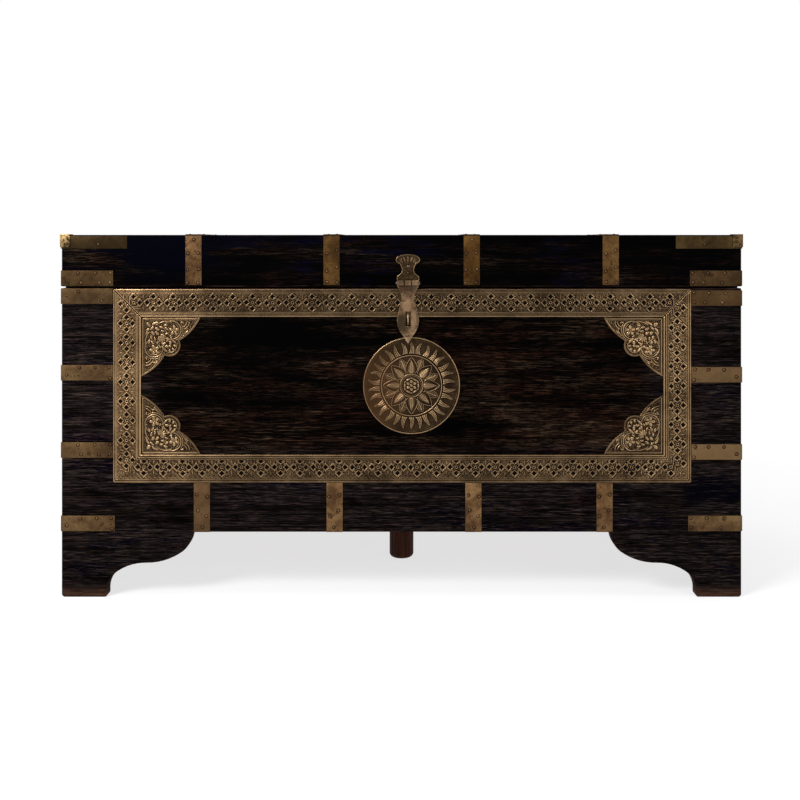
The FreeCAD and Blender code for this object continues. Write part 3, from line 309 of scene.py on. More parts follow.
# plain sheet brass, mottled and dull: colours of its dark, middling and light parts and of its stains
def sheetBrass(name, colours, metallic=0.94, rough=0.46, stainsAndShading=(), contrast=1.0):
    low, middle, high, stain = colours
    brass = Finish(name, Metallic=metallic)
    place = brass.place()
    cloud = brass.noise(place, 19.0, 4.0, 0.62)
    blot = brass.noise(place, 75.0, 3.0, 0.65)
    speck = brass.noise(place, 520.0, 2.0)
    level = (cloud * 0.50 + blot * 0.36 + speck * 0.14 - 0.5) * contrast + 0.5
    tone = brass.ramp(level, [(0.39, low), (0.50, middle), (0.62, high)])
    tone = brass.blend(blot.within(0.57, 0.70) * 0.8, tone, stain)
    brass.feed(Base_Color=brass.stainedAndShaded(tone, place, blot, stainsAndShading), Roughness=rough + 0.28 * (1 - cloud))
    brass.bumps(cloud * 1.5 + blot * 0.5 + speck * 0.25, 0.0009, 0.45)
    return brass.material


# the colours of the straps made lighter or darker
def toned(*tint):
    return [[c * f for c, f in zip(colour, tint)] for colour in sheetLook["strap"]]


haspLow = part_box("hasp")[0]
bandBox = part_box("lid_band_2")
sheetLook = {
    "strap": [(0.056, 0.030, 0.013), (0.105, 0.060, 0.025), (0.172, 0.105, 0.046), (0.036, 0.0165, 0.008)],
    "hasp": [(0.060, 0.032, 0.017), (0.175, 0.105, 0.057), (0.400, 0.262, 0.150), (0.028, 0.016, 0.010)],
    "knuckle": [(0.080, 0.048, 0.026), (0.20, 0.130, 0.070), (0.36, 0.25, 0.14), (0.04, 0.022, 0.012)],
    "rubbedAndHighlit": [(0.12, 0.078, 0.040), (0.24, 0.16, 0.085), (0.40, 0.28, 0.15), (0.06, 0.038, 0.02)],
    "cap": [(0.012, 0.007, 0.004), (0.060, 0.034, 0.013), (0.43, 0.288, 0.120), (0.012, 0.007, 0.004)],
    "nail": [(0.070, 0.036, 0.016), (0.125, 0.069, 0.030), (0.23, 0.140, 0.068), (0.05, 0.026, 0.012)],
    "dirt": [(0.012, 0.0055, 0.0035), (0.030, 0.013, 0.007), (0.055, 0.028, 0.013), (0.008, 0.004, 0.003)],
    "steel": [(0.13, 0.12, 0.11), (0.26, 0.25, 0.23), (0.42, 0.41, 0.38), (0.09, 0.06, 0.04)],
    # the tint of each strap over the lid, from the left
    "bands": [(1.16, 1.06, 1.04), (0.84, 0.74, 0.50), (0.70, 0.58, 0.34), (0.90, 0.82, 0.62)],
    # patches of stain where the photo shows them, and a near-black line along the lid's upper front edge that
    # is painted shade as well as dirt
    "edgeShadeAndDirt": [((0.0, bandBox[0].y, bandBox[1].z), (0, 110, 300), (0.006, 0.004, 0.003), 0.9)],
    # these darken the strap brass towards the lid and make the right-hand straps darker at the top and
    # lighter lower down
    "strapTones": [((0, 0, 0.62), (0, 0, 6.2), (0.050, 0.029, 0.0125), 0.6),
                    ((0.56, 0, 0.514), (6, 0, 24), (0.058, 0.030, 0.0110), 0.6),
                    ((0.56, 0, 0.380), (7, 0, 24), (0.155, 0.094, 0.043), 0.5),
                    ((0.56, 0, 0.250), (7, 0, 24), (0.185, 0.115, 0.052), 0.7)],
    "crownStain": [((-0.53, 0, 0.61), (7, 0, 12), (0.020, 0.0115, 0.0045), 0.6)],
    "railStain": [((-0.35, 0, 0.13), (16, 0, 8), (0.085, 0.047, 0.021), 0.7)],
    "capStain": [((0.59, -0.24, 0.61), (14, 14, 14), (0.045, 0.024, 0.009), 0.75)],
    "medallionStain": [((-0.050, 0, 0.345), (17, 0, 10), (0.100, 0.044, 0.017), 0.40)],
    # the hasp's patches are painted light: highlights down its waist and to the right of the slot, shade to
    # the left of the slot and higher up on the right, and a near-black line of shade where the tip is folded
    "haspHighlightsAndShade": [((0.000, -0.24, haspLow.z + 0.036), (70, 0, 55), (0.040, 0.027, 0.012), 0.85),
                   ((0.020, -0.24, haspLow.z + 0.040), (170, 0, 60), (0.40, 0.255, 0.145), 0.6),
                   ((0.009, -0.24, haspLow.z + 0.064), (110, 0, 55), (0.42, 0.26, 0.145), 0.5),
                   ((0.020, -0.24, haspLow.z + 0.094), (120, 0, 100), (0.050, 0.034, 0.022), 0.8),
                   ((0.011, -0.24, haspLow.z + 0.0125), (140, 0, 800), (0.006, 0.004, 0.003), 0.9)],
}
frontWood = stainedWood("front_wood", "X", (0.4, 0.0, 1.3), panel=True, density=0.022, spread=0.66,
                        navy=[((0.535, -0.23, 0.186), (16, 0, 30))])
lidWood = stainedWood("lid_wood", "X", (2.6, 0.7, 0.2), density=-0.086, ash=0.08, spread=0.55,
                      navy=[((-0.430, -0.23, 0.585), (7, 0, 24))])
topWood = stainedWood("top_wood", "X", (5.1, 3.3, 0.9), density=0.01)
sideWood = stainedWood("side_wood", "Y", (1.7, 4.4, 2.2))
wornWood = stainedWood("worn_edge_wood", "X", (0.9, 2.1, 4.1), wear=0.35)
wornSideWood = stainedWood("worn_side_wood", "Y", (0.3, 5.1, 1.1), wear=0.35)
insideWood = bareWood("inside_wood", "X", (1.0, 2.0, 0.0))
insideSideWood = bareWood("inside_side_wood", "Y", (4.0, 1.0, 3.0))
plainLook = {
    "foot": [(0.34, (0.014, 0.0045, 0.003)), (0.55, (0.042, 0.0135, 0.0075)), (0.75, (0.085, 0.030, 0.016))],
    "felt": [(0.3, (0.008, 0.008, 0.008)), (0.7, (0.030, 0.028, 0.026))],
}
footWood = plainFinish("turned_foot_wood", (190, 190, 9), 4.0, plainLook["foot"],
                       Specular_IOR_Level=0.06, Roughness=0.55)
padFelt = plainFinish("pad_felt", (900, 900, 900), 2.0, plainLook["felt"],
                      Specular_IOR_Level=0.1, Roughness=0.95)
reliefBrass = {
    "frame_left": embossedBrass("embossed_brass_left", 0.93, 1.25),
    "frame_right": embossedBrass("embossed_brass_right", 0.54, 1.4),
    "frame_top": embossedBrass("embossed_brass_top", 0.29, 1.9, (2.1, 1.4)),
    "frame_bottom": embossedBrass("embossed_brass_bottom", 0.32, 1.85, (1.9, 1.4)),
    "spandrel_top_left": embossedBrass("embossed_brass_corner_1", 0.71, 1.1),
    "spandrel_top_right": embossedBrass("embossed_brass_corner_2", 0.62, 1.3),
    "spandrel_bottom_left": embossedBrass("embossed_brass_corner_3", 0.60, 1.3),
    "spandrel_bottom_right": embossedBrass("embossed_brass_corner_4", 0.41, 1.7),
    "medallion": embossedBrass("embossed_brass_medallion", 0.385, 1.7, stainsAndShading=sheetLook["medallionStain"]),
    "hasp_plate": embossedBrass("embossed_brass_hasp", 0.44),
}
strapBrass = sheetBrass("strap_brass", toned(1, 1, 1), stainsAndShading=sheetLook["strapTones"])
crownBrass = sheetBrass("crown_strap_brass", toned(0.50, 0.52, 0.42),
                        stainsAndShading=sheetLook["edgeShadeAndDirt"] + sheetLook["crownStain"])
lidStrapBrass = sheetBrass("lid_strap_brass", toned(0.58, 0.57, 0.53))
railBrass = sheetBrass("rail_band_brass", toned(1.34, 1.26, 1.24), contrast=1.3,
                       stainsAndShading=sheetLook["railStain"])
bandBrass = [sheetBrass("lid_band_brass_%d" % number, toned(*tint), stainsAndShading=sheetLook["edgeShadeAndDirt"], contrast=1.3)
             for number, tint in enumerate(sheetLook["bands"], 1)]
hingeBrass = sheetBrass("hasp_brass", sheetLook["hasp"], rough=0.36, contrast=1.25,
                        stainsAndShading=sheetLook["haspHighlightsAndShade"])
knuckleBrass = sheetBrass("knuckle_brass", sheetLook["knuckle"], rough=0.26)
# lighter brass for the staple, and on the rounded edges of the hasp, hinge leaves and handle plates a painted
# highlight as well as wear
rubbedHighlitBrass = sheetBrass("rubbed_highlit_brass", sheetLook["rubbedAndHighlit"], rough=0.34)
goldBrass = sheetBrass("worn_cap_brass", sheetLook["cap"], rough=0.34, contrast=1.8,
                       stainsAndShading=sheetLook["capStain"])
nailBrass = sheetBrass("nail_brass", sheetLook["nail"], rough=0.38)
nailDirt = sheetBrass("nail_ring_dirt", sheetLook["dirt"], metallic=0.9, rough=0.6)
pinSteel = sheetBrass("pin_steel", sheetLook["steel"], rough=0.36)
print("finishes made")


# meshes
def dress(piece, finishes, body, nodes=(), smoothAngle=40):
    for finish in finishes:
        piece.data.materials.append(finish)
    piece.data.shade_smooth()
    piece.data.set_sharp_from_angle(angle=math.radians(smoothAngle))
    bpy.context.scene.collection.objects.link(piece)
    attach(piece, body)
    if nodes:
        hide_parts(*nodes)
    return piece


def meshPiece(name, corners, faces, finishes, body, nodes=(), smoothAngle=40):
    mesh = bpy.data.meshes.new(name)
    mesh.from_pydata(corners, [], faces)
    mesh.validate()
    return dress(bpy.data.objects.new(name, mesh), finishes, body, nodes, smoothAngle)


def turnOutward(piece):
    shape = bmesh.new()
    shape.from_mesh(piece.data)
    bmesh.ops.recalc_face_normals(shape, faces=shape.faces)
    shape.to_mesh(piece.data)
    shape.free()


# the faces between two rings of corners that begin at these numbers
def tubeFaces(first, second, sides):
    for k in range(sides):
        after = (k + 1) % sides
        yield first + k, second + k, second + after, first + after


# each place becomes the mean of its four neighbours; the rows of a wrapped grid are closed rings
def averaged(heights, wrapped=False):
    around = np.pad(heights, 1, mode="edge")
    if wrapped:
        around[:, 0], around[:, -1] = around[:, -3], around[:, 2]
    return (around[:-2, 1:-1] + around[2:, 1:-1] + around[1:-1, :-2] + around[1:-1, 2:]) / 4


reliefLook = {"gain": 0.34, "level": 0.52, "sharp": 2.2, "behind": 0.35}
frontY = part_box("front_board")[0].y


# a sheet of relief on a grid of places in millimetres, with heights above its back
def reliefSheet(name, x, z, heights, node, wrapped=False, pits=None, **own):
    look = {**reliefLook, **own}
    rows, columns = heights.shape
    # hollows are darker and crests lighter, from each height against its surroundings: painted shade and dirt
    # in the hollows, painted highlight and wear on the crests
    ground = np.median(heights)
    filled = heights if pits is None else np.where(pits, ground, heights)
    nearby = averaged(averaged(filled, wrapped))
    relief = look["level"] + look["gain"] * (filled - ground) + look["sharp"] * (filled - nearby)
    if pits is not None:
        relief = np.where(pits, 0.0, relief)
    front = np.stack([x, frontY / mm - heights, z], axis=-1).reshape(-1, 3) * mm
    number = np.arange(rows * columns).reshape(rows, columns)
    if wrapped:
        number = np.concatenate([number, number[:, :1]], axis=1)
        rim = number[-1, :-1]
    else:
        rim = np.concatenate([number[0, :-1], number[:-1, -1], number[-1, :0:-1], number[:0:-1, 0]])[::-1]
    quads = np.stack([number[:-1, :-1], number[:-1, 1:], number[1:, 1:], number[1:, :-1]], axis=-1)
    faces = [tuple(quad) for quad in quads.reshape(-1, 4).tolist()]
    corners = [tuple(corner) for corner in front]
    rim, first = rim.tolist(), len(corners)
    corners += [(corners[i][0], frontY, corners[i][2]) for i in rim]
    for k, start in enumerate(rim):
        after = (k + 1) % len(rim)
        faces.append((start, first + k, first + after, rim[after]))
    faces.append(tuple(range(first, first + len(rim))))
    if wrapped:  # the pinhole in the middle
        faces.append(tuple(number[0, ::-1][:-1].tolist()))
    piece = meshPiece(name, corners, faces, [reliefBrass[node]], bodyOf[node], [node], 180)
    turnOutward(piece)
    tones = np.full(len(piece.data.vertices), look["behind"], np.float32)
    tones[:rows * columns] = np.clip(relief, 0, 1).reshape(-1)
    piece.data.attributes.new("relief", "FLOAT", "POINT").data.foreach_set("value", tones)


softLook = {
    "merge": 2e-6,      # corners closer than this are one
    "flat": 0.4,        # degrees: faces that meet flatter than this are one
    "corner": 35,       # edges sharper than this are rounded
    "smooth": 50,       # and what is left below this is shaded smooth
    "facing": 0.9,      # how squarely an inner face looks inward
}


# a copy of a node with its edges rounded, the rounding in its own finish
def softened(node, name, finishes, width, segments=2, inward=None, split=0.0):
    look = softLook
    flat, corner = math.radians(look["flat"]), math.radians(look["corner"])
    shape = bmesh.new()
    shape.from_mesh(frame["nodes"][node].data)
    bmesh.ops.remove_doubles(shape, verts=shape.verts, dist=look["merge"])
    bmesh.ops.dissolve_limit(shape, angle_limit=flat, verts=shape.verts, edges=shape.edges)
    for face in shape.faces:
        face.material_index = 0
    edges = [e for e in shape.edges if len(e.link_faces) == 2 and e.calc_face_angle(0) > corner]
    if width:
        bmesh.ops.bevel(shape, geom=edges, offset=width, segments=segments, profile=0.5,
                        affect="EDGES", clamp_overlap=True, material=1, loop_slide=True)
    if split:  # an edge at this height, so that the finish can change there
        geometry = [*shape.verts, *shape.edges, *shape.faces]
        bmesh.ops.bisect_plane(shape, geom=geometry, plane_co=(0, 0, split), plane_no=(0, 0, 1))
    if inward:
        for face in shape.faces:
            if face.normal.dot(Vector(inward)) > look["facing"] and face.calc_center_bounds().z > split:
                face.material_index = 2
    mesh = bpy.data.meshes.new(name)
    shape.to_mesh(mesh)
    shape.free()
    return dress(bpy.data.objects.new(name, mesh), finishes, bodyOf[node], [node], look["smooth"])


# relief drawing, all in millimetres
def smooth(value):  # 0 to 1 with soft ends
    value = np.clip(value, 0, 1)
    return value * value * (3 - 2 * value)


def ridge(distance, halfWidth):  # 1 on a line, 0 beyond its half width
    return smooth(1 - np.abs(distance) / halfWidth)


def diamond(across, along, reach):  # distance from a diamond's edge, below 0 inside it
    return (np.abs(across) + np.abs(along) - reach) / math.sqrt(2)


def turned(x, z, degrees):
    c, s = math.cos(math.radians(degrees)), math.sin(math.radians(degrees))
    return c * x + s * z, c * z - s * x


# the place at a distance and angle from a middle
def spoke(centre, reach, degrees):
    turn = math.radians(degrees)
    return centre[0] + reach * math.cos(turn), centre[1] + reach * math.sin(turn)


def bead(x, z, centre, radius, height):
    distance = np.hypot(x - centre[0], z - centre[1])
    return height * np.sqrt(np.clip(1 - (distance / radius) ** 2, 0, 1))


def petal(x, z, centre, degrees, halfLength, halfWidth, height):
    along, across = turned(x - centre[0], z - centre[1], degrees)
    return height * np.sqrt(np.clip(1 - (along / halfLength) ** 2 - (across / halfWidth) ** 2, 0, 1)) ** 0.8


def arc(x, z, centre, radius, begin, end, halfWidth, height):
    dx, dz = x - centre[0], z - centre[1]
    share = (np.degrees(np.arctan2(dz, dx)) - begin) % 360 / ((end - begin) % 360)
    taper = np.where(share <= 1, 0.45 + 0.55 * np.sin(math.pi * np.clip(share, 0, 1)), 0)
    return ridge(np.hypot(dx, dz) - radius, halfWidth) * height * taper


# even specks that are the same each run
def stipple(x, z, size):
    x, z = x / size, z / size
    return np.sin(x * 2.1 + np.sin(z * 1.3) * 1.7) * np.sin(z * 2.3 + np.sin(x * 1.1) * 1.9)


# a number from -0.5 to 0.5 for each flower or flame, the same each run
def chanceOf(index, step, begin):
    chance = np.sin(index * step + begin) * 43758.5453
    return chance - np.floor(chance) - 0.5


# the pierced frame
frameLook = {
    "band": 48.0,             # width of a strip
    "thick": 1.25,            # of the sheet
    "step": 0.8,              # between the points of the mesh
    "reach": 10.3,            # from a flower's middle to its holes
    "hole": 4.2,              # half a hole's diagonal
    "star": 6.9,              # half the diagonal of each point of the outline
    "heart": 7.0,             # half the side of the outline's square
    # first flower, pitch and row of each strip: the strips differ
    "rows": {"top": (-457.1, 33.88, 23.3), "bottom": (459.4, 33.3, 26.3),
             "left": (500.2, 33.2, 23.3), "right": (227.6, 33.2, 24.0)},
    # how far the flowers' outline and the lines along the edges stand up
    "outline": {"top": 0.46, "bottom": 0.62, "left": 0.34, "right": 0.90},
    "rails": {"top": 0.55, "bottom": 0.30, "left": 1.0, "right": 0.70},
    "outerRail": (5.2, 0.45),      # distance from the edge and height
    "innerRails": [(8.3, 0.30), (5.6, 0.55), (2.0, 0.55)],
    "border": (6.9, 9.3),     # outer and inner width without flowers
    "uneven": (0.7, 0.5, 0.06),    # how far the flowers stray along, across and in their turn
    "gapMarks": 9.5,          # from the row to the marks between the flowers
    "clearance": 3.2,         # between a hole and the mitre
    "sag": 0.18,
    "lowerMitre": 0.3,        # the lower joints hardly show
}
frameLow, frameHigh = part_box("frame_left")[0] / mm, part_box("frame_right")[1] / mm
frameLeft, frameRight = frameLow.x, frameHigh.x
frameBase, frameTop = frameLow.z, frameHigh.z


# where a strip begins, and its length
def stripSpan(side):
    if side in ("top", "bottom"):
        return frameLeft, frameRight - frameLeft
    return frameBase, frameTop - frameBase


def flowerRelief(x, z, look, raised, clear):
    reach = look["reach"]
    outline = np.maximum(np.abs(x), np.abs(z)) - look["heart"]
    holes = np.full_like(x, 99.0)
    for px, pz in ((reach, 0), (-reach, 0), (0, reach), (0, -reach)):
        cut = 99 * (1 - clear(px, pz))
        outline = np.minimum(outline, diamond(x - px, z - pz, look["star"]) + cut)
        holes = np.minimum(holes, diamond(x - px, z - pz, look["hole"]) + cut)
    middle = np.hypot(x, z)
    high = raised * (ridge(outline, 0.85) - 0.7 * ridge(outline - 1.5, 1.0))
    high += (1.2 - raised * 0.6) * ridge(holes - 0.8, 0.75)
    high -= 0.16 * smooth(-outline / 1.2) * (holes > 1.5)
    high += 0.45 * ridge(middle - 2.4, 0.9) - 0.8 * smooth((1.6 - middle) / 0.8)
    for degrees in (45, 135, 225, 315):
        along, across = turned(x, z, degrees)
        high += 0.42 * ridge(across, 0.75) * smooth((along - 3.4) / 0.8) * smooth((8.6 - along) / 0.8)
        high -= 0.40 * ridge(along - 5.6, 0.8) * ridge(across, 2.6) * (outline < 0)
    return high, holes, outline


def frameRelief(x, z, side):
    look = frameLook
    start, pitch, row = look["rows"][side]
    edges = {"top": frameTop - z, "bottom": z - frameBase, "left": x - frameLeft, "right": frameRight - x}
    depth = edges[side]
    inner = look["band"] - depth
    way = 1 if side in ("top", "right") else -1
    along = x if side in ("top", "bottom") else z
    origin, length = stripSpan(side)
    index = np.floor(way * (along - start) / pitch + 0.5)
    wobble = chanceOf(index, 12.9898, len(side))
    strayAlong, strayAcross, strayTurn = look["uneven"]
    u = along - (start + way * index * pitch) + wobble * strayAlong
    v = depth - row + wobble * strayAcross
    u, v = u + v * wobble * strayTurn, v - u * wobble * strayTurn

    # a hole that the mitre would cut isn't pierced
    def clear(px, pz):
        reached = start + way * index * pitch + px - origin
        return np.minimum(reached, length - reached) - (row + pz) > look["clearance"]

    high, holes, outline = flowerRelief(u, v, look, look["outline"][side], clear)
    dull = np.sin(index * 37.719 + len(side)) * 0.5 + 0.5
    # marks in the gaps between the flowers
    gap = np.abs(u) - pitch / 2
    for level in (look["gapMarks"], -look["gapMarks"]):
        high += 0.38 * ridge(np.abs(gap) + np.abs(v - level) * 0.28 - 0.1, 1.5) * (outline > 0.8)
    high += 0.16 * stipple(x, z, 1.3) * (outline > 0.6) - 0.22 * dull * (outline < 0.5)
    outerBorder, innerBorder = look["border"]
    flowered = smooth((depth - outerBorder) / 0.6) * smooth((inner - innerBorder) / 0.6)
    high = high * flowered
    pierced = (holes < 0) & (flowered > 0.5)
    rails = look["rails"][side]
    line, size = look["outerRail"]
    high += size * rails * ridge(depth - line, 0.8) - 0.40 * ridge(depth - 6.5, 0.7)
    high += 0.22 * np.cos((x + z) * 2.4) * ridge(depth - 8.6, 1.5)
    for line, size in look["innerRails"]:
        high += size * rails * ridge(inner - line, 0.95)
    high -= 0.45 * ridge(inner - 7.0, 0.8) + 0.45 * ridge(inner - 3.8, 0.8)
    mitre = np.min([np.abs(depth - other) for key, other in edges.items() if key != side], axis=0)
    joint = np.where(z > (frameBase + frameTop) / 2, 1.0, look["lowerMitre"])
    high -= joint * (1.1 * ridge(mitre, 1.5) - 0.3 * ridge(mitre - 2.4, 1.2))
    high = np.where(pierced, -look["thick"] + 0.12, high + look["sag"] * stipple(x, z, 31.0))
    high = high - 0.9 * smooth((1.1 - depth) / 1.1) - 0.9 * smooth((1.1 - inner) / 1.1)
    return high + look["thick"], pierced


for side in ("top", "bottom", "left", "right"):
    band, step = frameLook["band"], frameLook["step"]
    length = stripSpan(side)[1]
    across = np.linspace(0, band, round(band / step) + 1)[:, None]
    share = np.linspace(0, 1, round(length / step) + 1)[None, :]
    near = across + share * (length - 2 * across)
    deep = across + 0 * share
    if side in ("top", "bottom"):
        x, z = frameLeft + near, (frameTop - deep if side == "top" else frameBase + deep)
    else:
        x, z = (frameLeft + deep if side == "left" else frameRight - deep), frameBase + near
    high, pierced = frameRelief(x, z, side)
    reliefSheet("pierced_frame_" + side, x, z, high, "frame_" + side, pits=pierced)
print("frame embossed")


# corner spandrels, and places of their carving
vine = {
    "thick": 1.3,
    "tall": 1.2,
    "rays": 83,               # points along each arc of the edge
    "rings": 118,
    # the lobed edge, as three arcs through these places, in shares of a leg
    "edge": [((0.0, 1.0), (0.235, 0.845), (0.395, 0.645)),
             ((0.395, 0.645), (0.608, 0.608), (0.645, 0.395)),
             ((0.645, 0.395), (0.845, 0.235), (1.0, 0.0))],
    # middle, lean in degrees, half length and half width of each petal or leaf
    "petals": [
        (12.2, 12.2, 45, 3.9, 2.4), (20.9, 11.0, -45, 3.4, 1.6), (18.2, 18.2, -45, 3.6, 1.5),
        (9.4, 24.4, -62, 3.2, 1.4), (27.2, 8.6, -20, 2.6, 1.2), (19.8, 26.9, 58, 3.4, 2.0),
        (26.8, 26.8, 45, 3.6, 1.8), (13.4, 41.2, 100, 3.1, 1.6), (19.2, 43.0, 55, 3.3, 1.6),
        (16.8, 34.2, 75, 3.1, 1.6), (23.0, 36.4, 78, 3.0, 1.4), (27.6, 43.0, 110, 2.8, 1.2),
        (49.4, 43.6, 92, 3.3, 1.9), (44.6, 38.6, 125, 3.4, 1.6), (55.6, 40.4, 50, 4.2, 1.5),
        (57.4, 48.4, 15, 2.6, 1.6), (54.6, 54.6, 45, 2.6, 1.8), (49.0, 49.0, 45, 2.0, 1.5),
        (31.0, 72.2, -55, 2.8, 1.2), (25.6, 77.4, -38, 4.0, 1.4), (8.4, 69.6, 80, 2.6, 1.1),
        (38.0, 52.6, 40, 4.4, 1.4), (36.8, 46.0, 60, 3.4, 1.3), (32.0, 50.5, 60, 2.4, 1.2),
    ],
    "swell": (1.16, 1.18, 1.25),  # of the petals' length and width, and the arcs' width
    "blossom": (22.4, 55.8),
    "blossomPetal": (5.4, 3.7, 2.5),  # reach, half length and half width
    "fan": [(45, 13.0), (65, 12.5), (86, 11.0), (108, 8.5)],  # lean and length of each blade
    "fanRoot": (31.0, 31.0),
    "plain": 3.0,             # width without carving along the lobes
    "border": 4.9,            # and along the legs, with these lines: distance, height and half width
    "lines": [(2.5, 0.80, 1.1), (0.6, -0.35, 0.7), (4.3, -0.35, 0.8)],
    # middle, radius, beginning and end in degrees, half width
    "arcs": [((21.5, 52.2), 15.3, -12, 236, 1.45), ((21.5, 52.2), 12.0, 24, 150, 0.8),
             ((21.5, 52.2), 18.6, 22, 128, 0.95), ((32.0, 42.0), 25.2, 158, 222, 1.35),
             ((20.0, 66.0), 10.5, 30, 108, 1.0), ((29.0, 31.0), 12.2, 96, 176, 0.85),
             ((48.5, 48.5), 11.6, -38, 128, 0.85), ((7.0, 68.0), 14.0, 20, 88, 0.95),
             ((7.0, 68.0), 9.6, 14, 84, 0.85)],
}


def arcThrough(first, via, last, count):
    (ax, az), (bx, bz), (cx, cz) = first, via, last
    d = 2 * (ax * (bz - cz) + bx * (cz - az) + cx * (az - bz))
    sa, sb, sc = ax * ax + az * az, bx * bx + bz * bz, cx * cx + cz * cz
    ux = (sa * (bz - cz) + sb * (cz - az) + sc * (az - bz)) / d
    uz = (sa * (cx - bx) + sb * (ax - cx) + sc * (bx - ax)) / d
    radius = math.hypot(ax - ux, az - uz)
    start, middle, end = (math.atan2(z - uz, x - ux) for x, z in (first, via, last))
    sweep = (end - start) % (2 * math.pi)
    if (middle - start) % (2 * math.pi) > sweep:
        sweep -= 2 * math.pi
    angles = start + np.linspace(0, 1, count) * sweep
    return np.stack([ux + radius * np.cos(angles), uz + radius * np.sin(angles)], axis=-1)


# scrolls, flowers and leaves between the legs; each comes again mirrored over the diagonal
def vineRelief(u, v):
    tall, blossom = vine["tall"], vine["blossom"]
    longer, wider, bolder = vine["swell"]
    reach, *form = vine["blossomPetal"]
    high = np.zeros_like(u)
    for x, z in ((u, v), (v, u)):
        forms = [petal(x, z, (px, pz), degrees, halfLength * longer, halfWidth * wider, tall)
                 for px, pz, degrees, halfLength, halfWidth in vine["petals"]]
        forms += [arc(x, z, *places, halfWidth * bolder, tall * 0.95) for *places, halfWidth in vine["arcs"]]
        forms += [petal(x, z, spoke(blossom, reach, turn), turn, *form, tall) for turn in range(36, 360, 72)]
        forms += [petal(x, z, spoke(vine["fanRoot"], length * 0.58, lean), lean, length * 0.45, 1.5, tall)
                  for lean, length in vine["fan"]]
        high = np.max([high, bead(x, z, blossom, 1.5, tall * 0.7), *forms], axis=0)
    return high


for node, wayX, wayZ in (("spandrel_top_left", 1, -1), ("spandrel_top_right", -1, -1),
                         ("spandrel_bottom_left", 1, 1), ("spandrel_bottom_right", -1, 1)):
    low, high = (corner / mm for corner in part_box(node))
    arcs = [arcThrough(*arcPlaces, vine["rays"])[:-1] for arcPlaces in vine["edge"]]
    edge = np.concatenate([*arcs, [[1.0, 0.0]]]) * (high.x - low.x)
    share = np.linspace(0, 1, vine["rings"]) ** 0.75
    share[0] = 0.004
    u, v = share[:, None] * edge[None, :, 0], share[:, None] * edge[None, :, 1]
    far = np.min([np.hypot(u - ex, v - ez) for ex, ez in edge[::2]], axis=0)
    legs = np.minimum(u, v)
    plain = smooth((far - vine["plain"]) / 0.8)
    carved = vineRelief(u, v)
    filling = 0.34 * stipple(u + v * 0.4, v, 1.7) * smooth((0.5 - carved) / 0.5)
    rails = sum(size * ridge(legs - line, width) for line, size, width in vine["lines"])
    height = ((carved - 0.42 + filling) * smooth((legs - vine["border"]) / 0.7) + rails) * plain
    height += 0.16 * (1 - plain) * smooth(legs - 1.0)
    height += 0.05 * ridge(far - 1.2, 1.1) - 0.30 * ridge(far - 3.1, 0.8) - 0.6 * smooth((0.8 - far) / 0.8)
    x, z = (low.x if wayX > 0 else high.x) + wayX * u, (low.z if wayZ > 0 else high.z) + wayZ * v
    reliefSheet(node + "_relief", x, z, height + vine["thick"], node, gain=0.42, level=0.47)
print("spandrels embossed")


# the medallion, its radii in millimetres
medallionLook = {
    "thick": 1.35,
    "rings": 122,
    "rays": 640,
    "turn": 6,                # degrees, so that the petals stand as in the photo
    "flames": 30,
    "petals": 8,
    "lobes": 6,
    "flame": (54.0, 77.0, 5.0),    # root, tip and half width
    "flameLean": (2.6, 2.4),
    "petal": (20.5, 48.5, 10.2),
    "blade": (20.5, 42.5, 6.6),    # inside each petal's outline
    "shortPetal": (27.0, 49.0, 6.2),
    "bead": (2.4, 1.0),
    # radius, height and half width of each round line
    "lines": [(51.4, 0.95, 1.45), (19.5, 1.0, 1.4), (16.9, 0.45, 0.8)],
    "grooves": [(53.8, 0.35), (49.0, 0.35)],
    # small leaves of the middle: reach, turn, lie, half length, half width and height
    "leaves": [(6.6, 30, 30, 2.9, 2.3, 1.1), (11.6, 0, 90, 3.6, 1.5, 0.9),
               (12.6, 29.794, 120, 2.2, 1.1, 0.7)],
}


# a petal's half width from its root to its tip
def bulge(share, width, bend, power):
    return width * np.sin(math.pi * np.clip(share, 0.001, 1) ** bend) ** power + 0.05


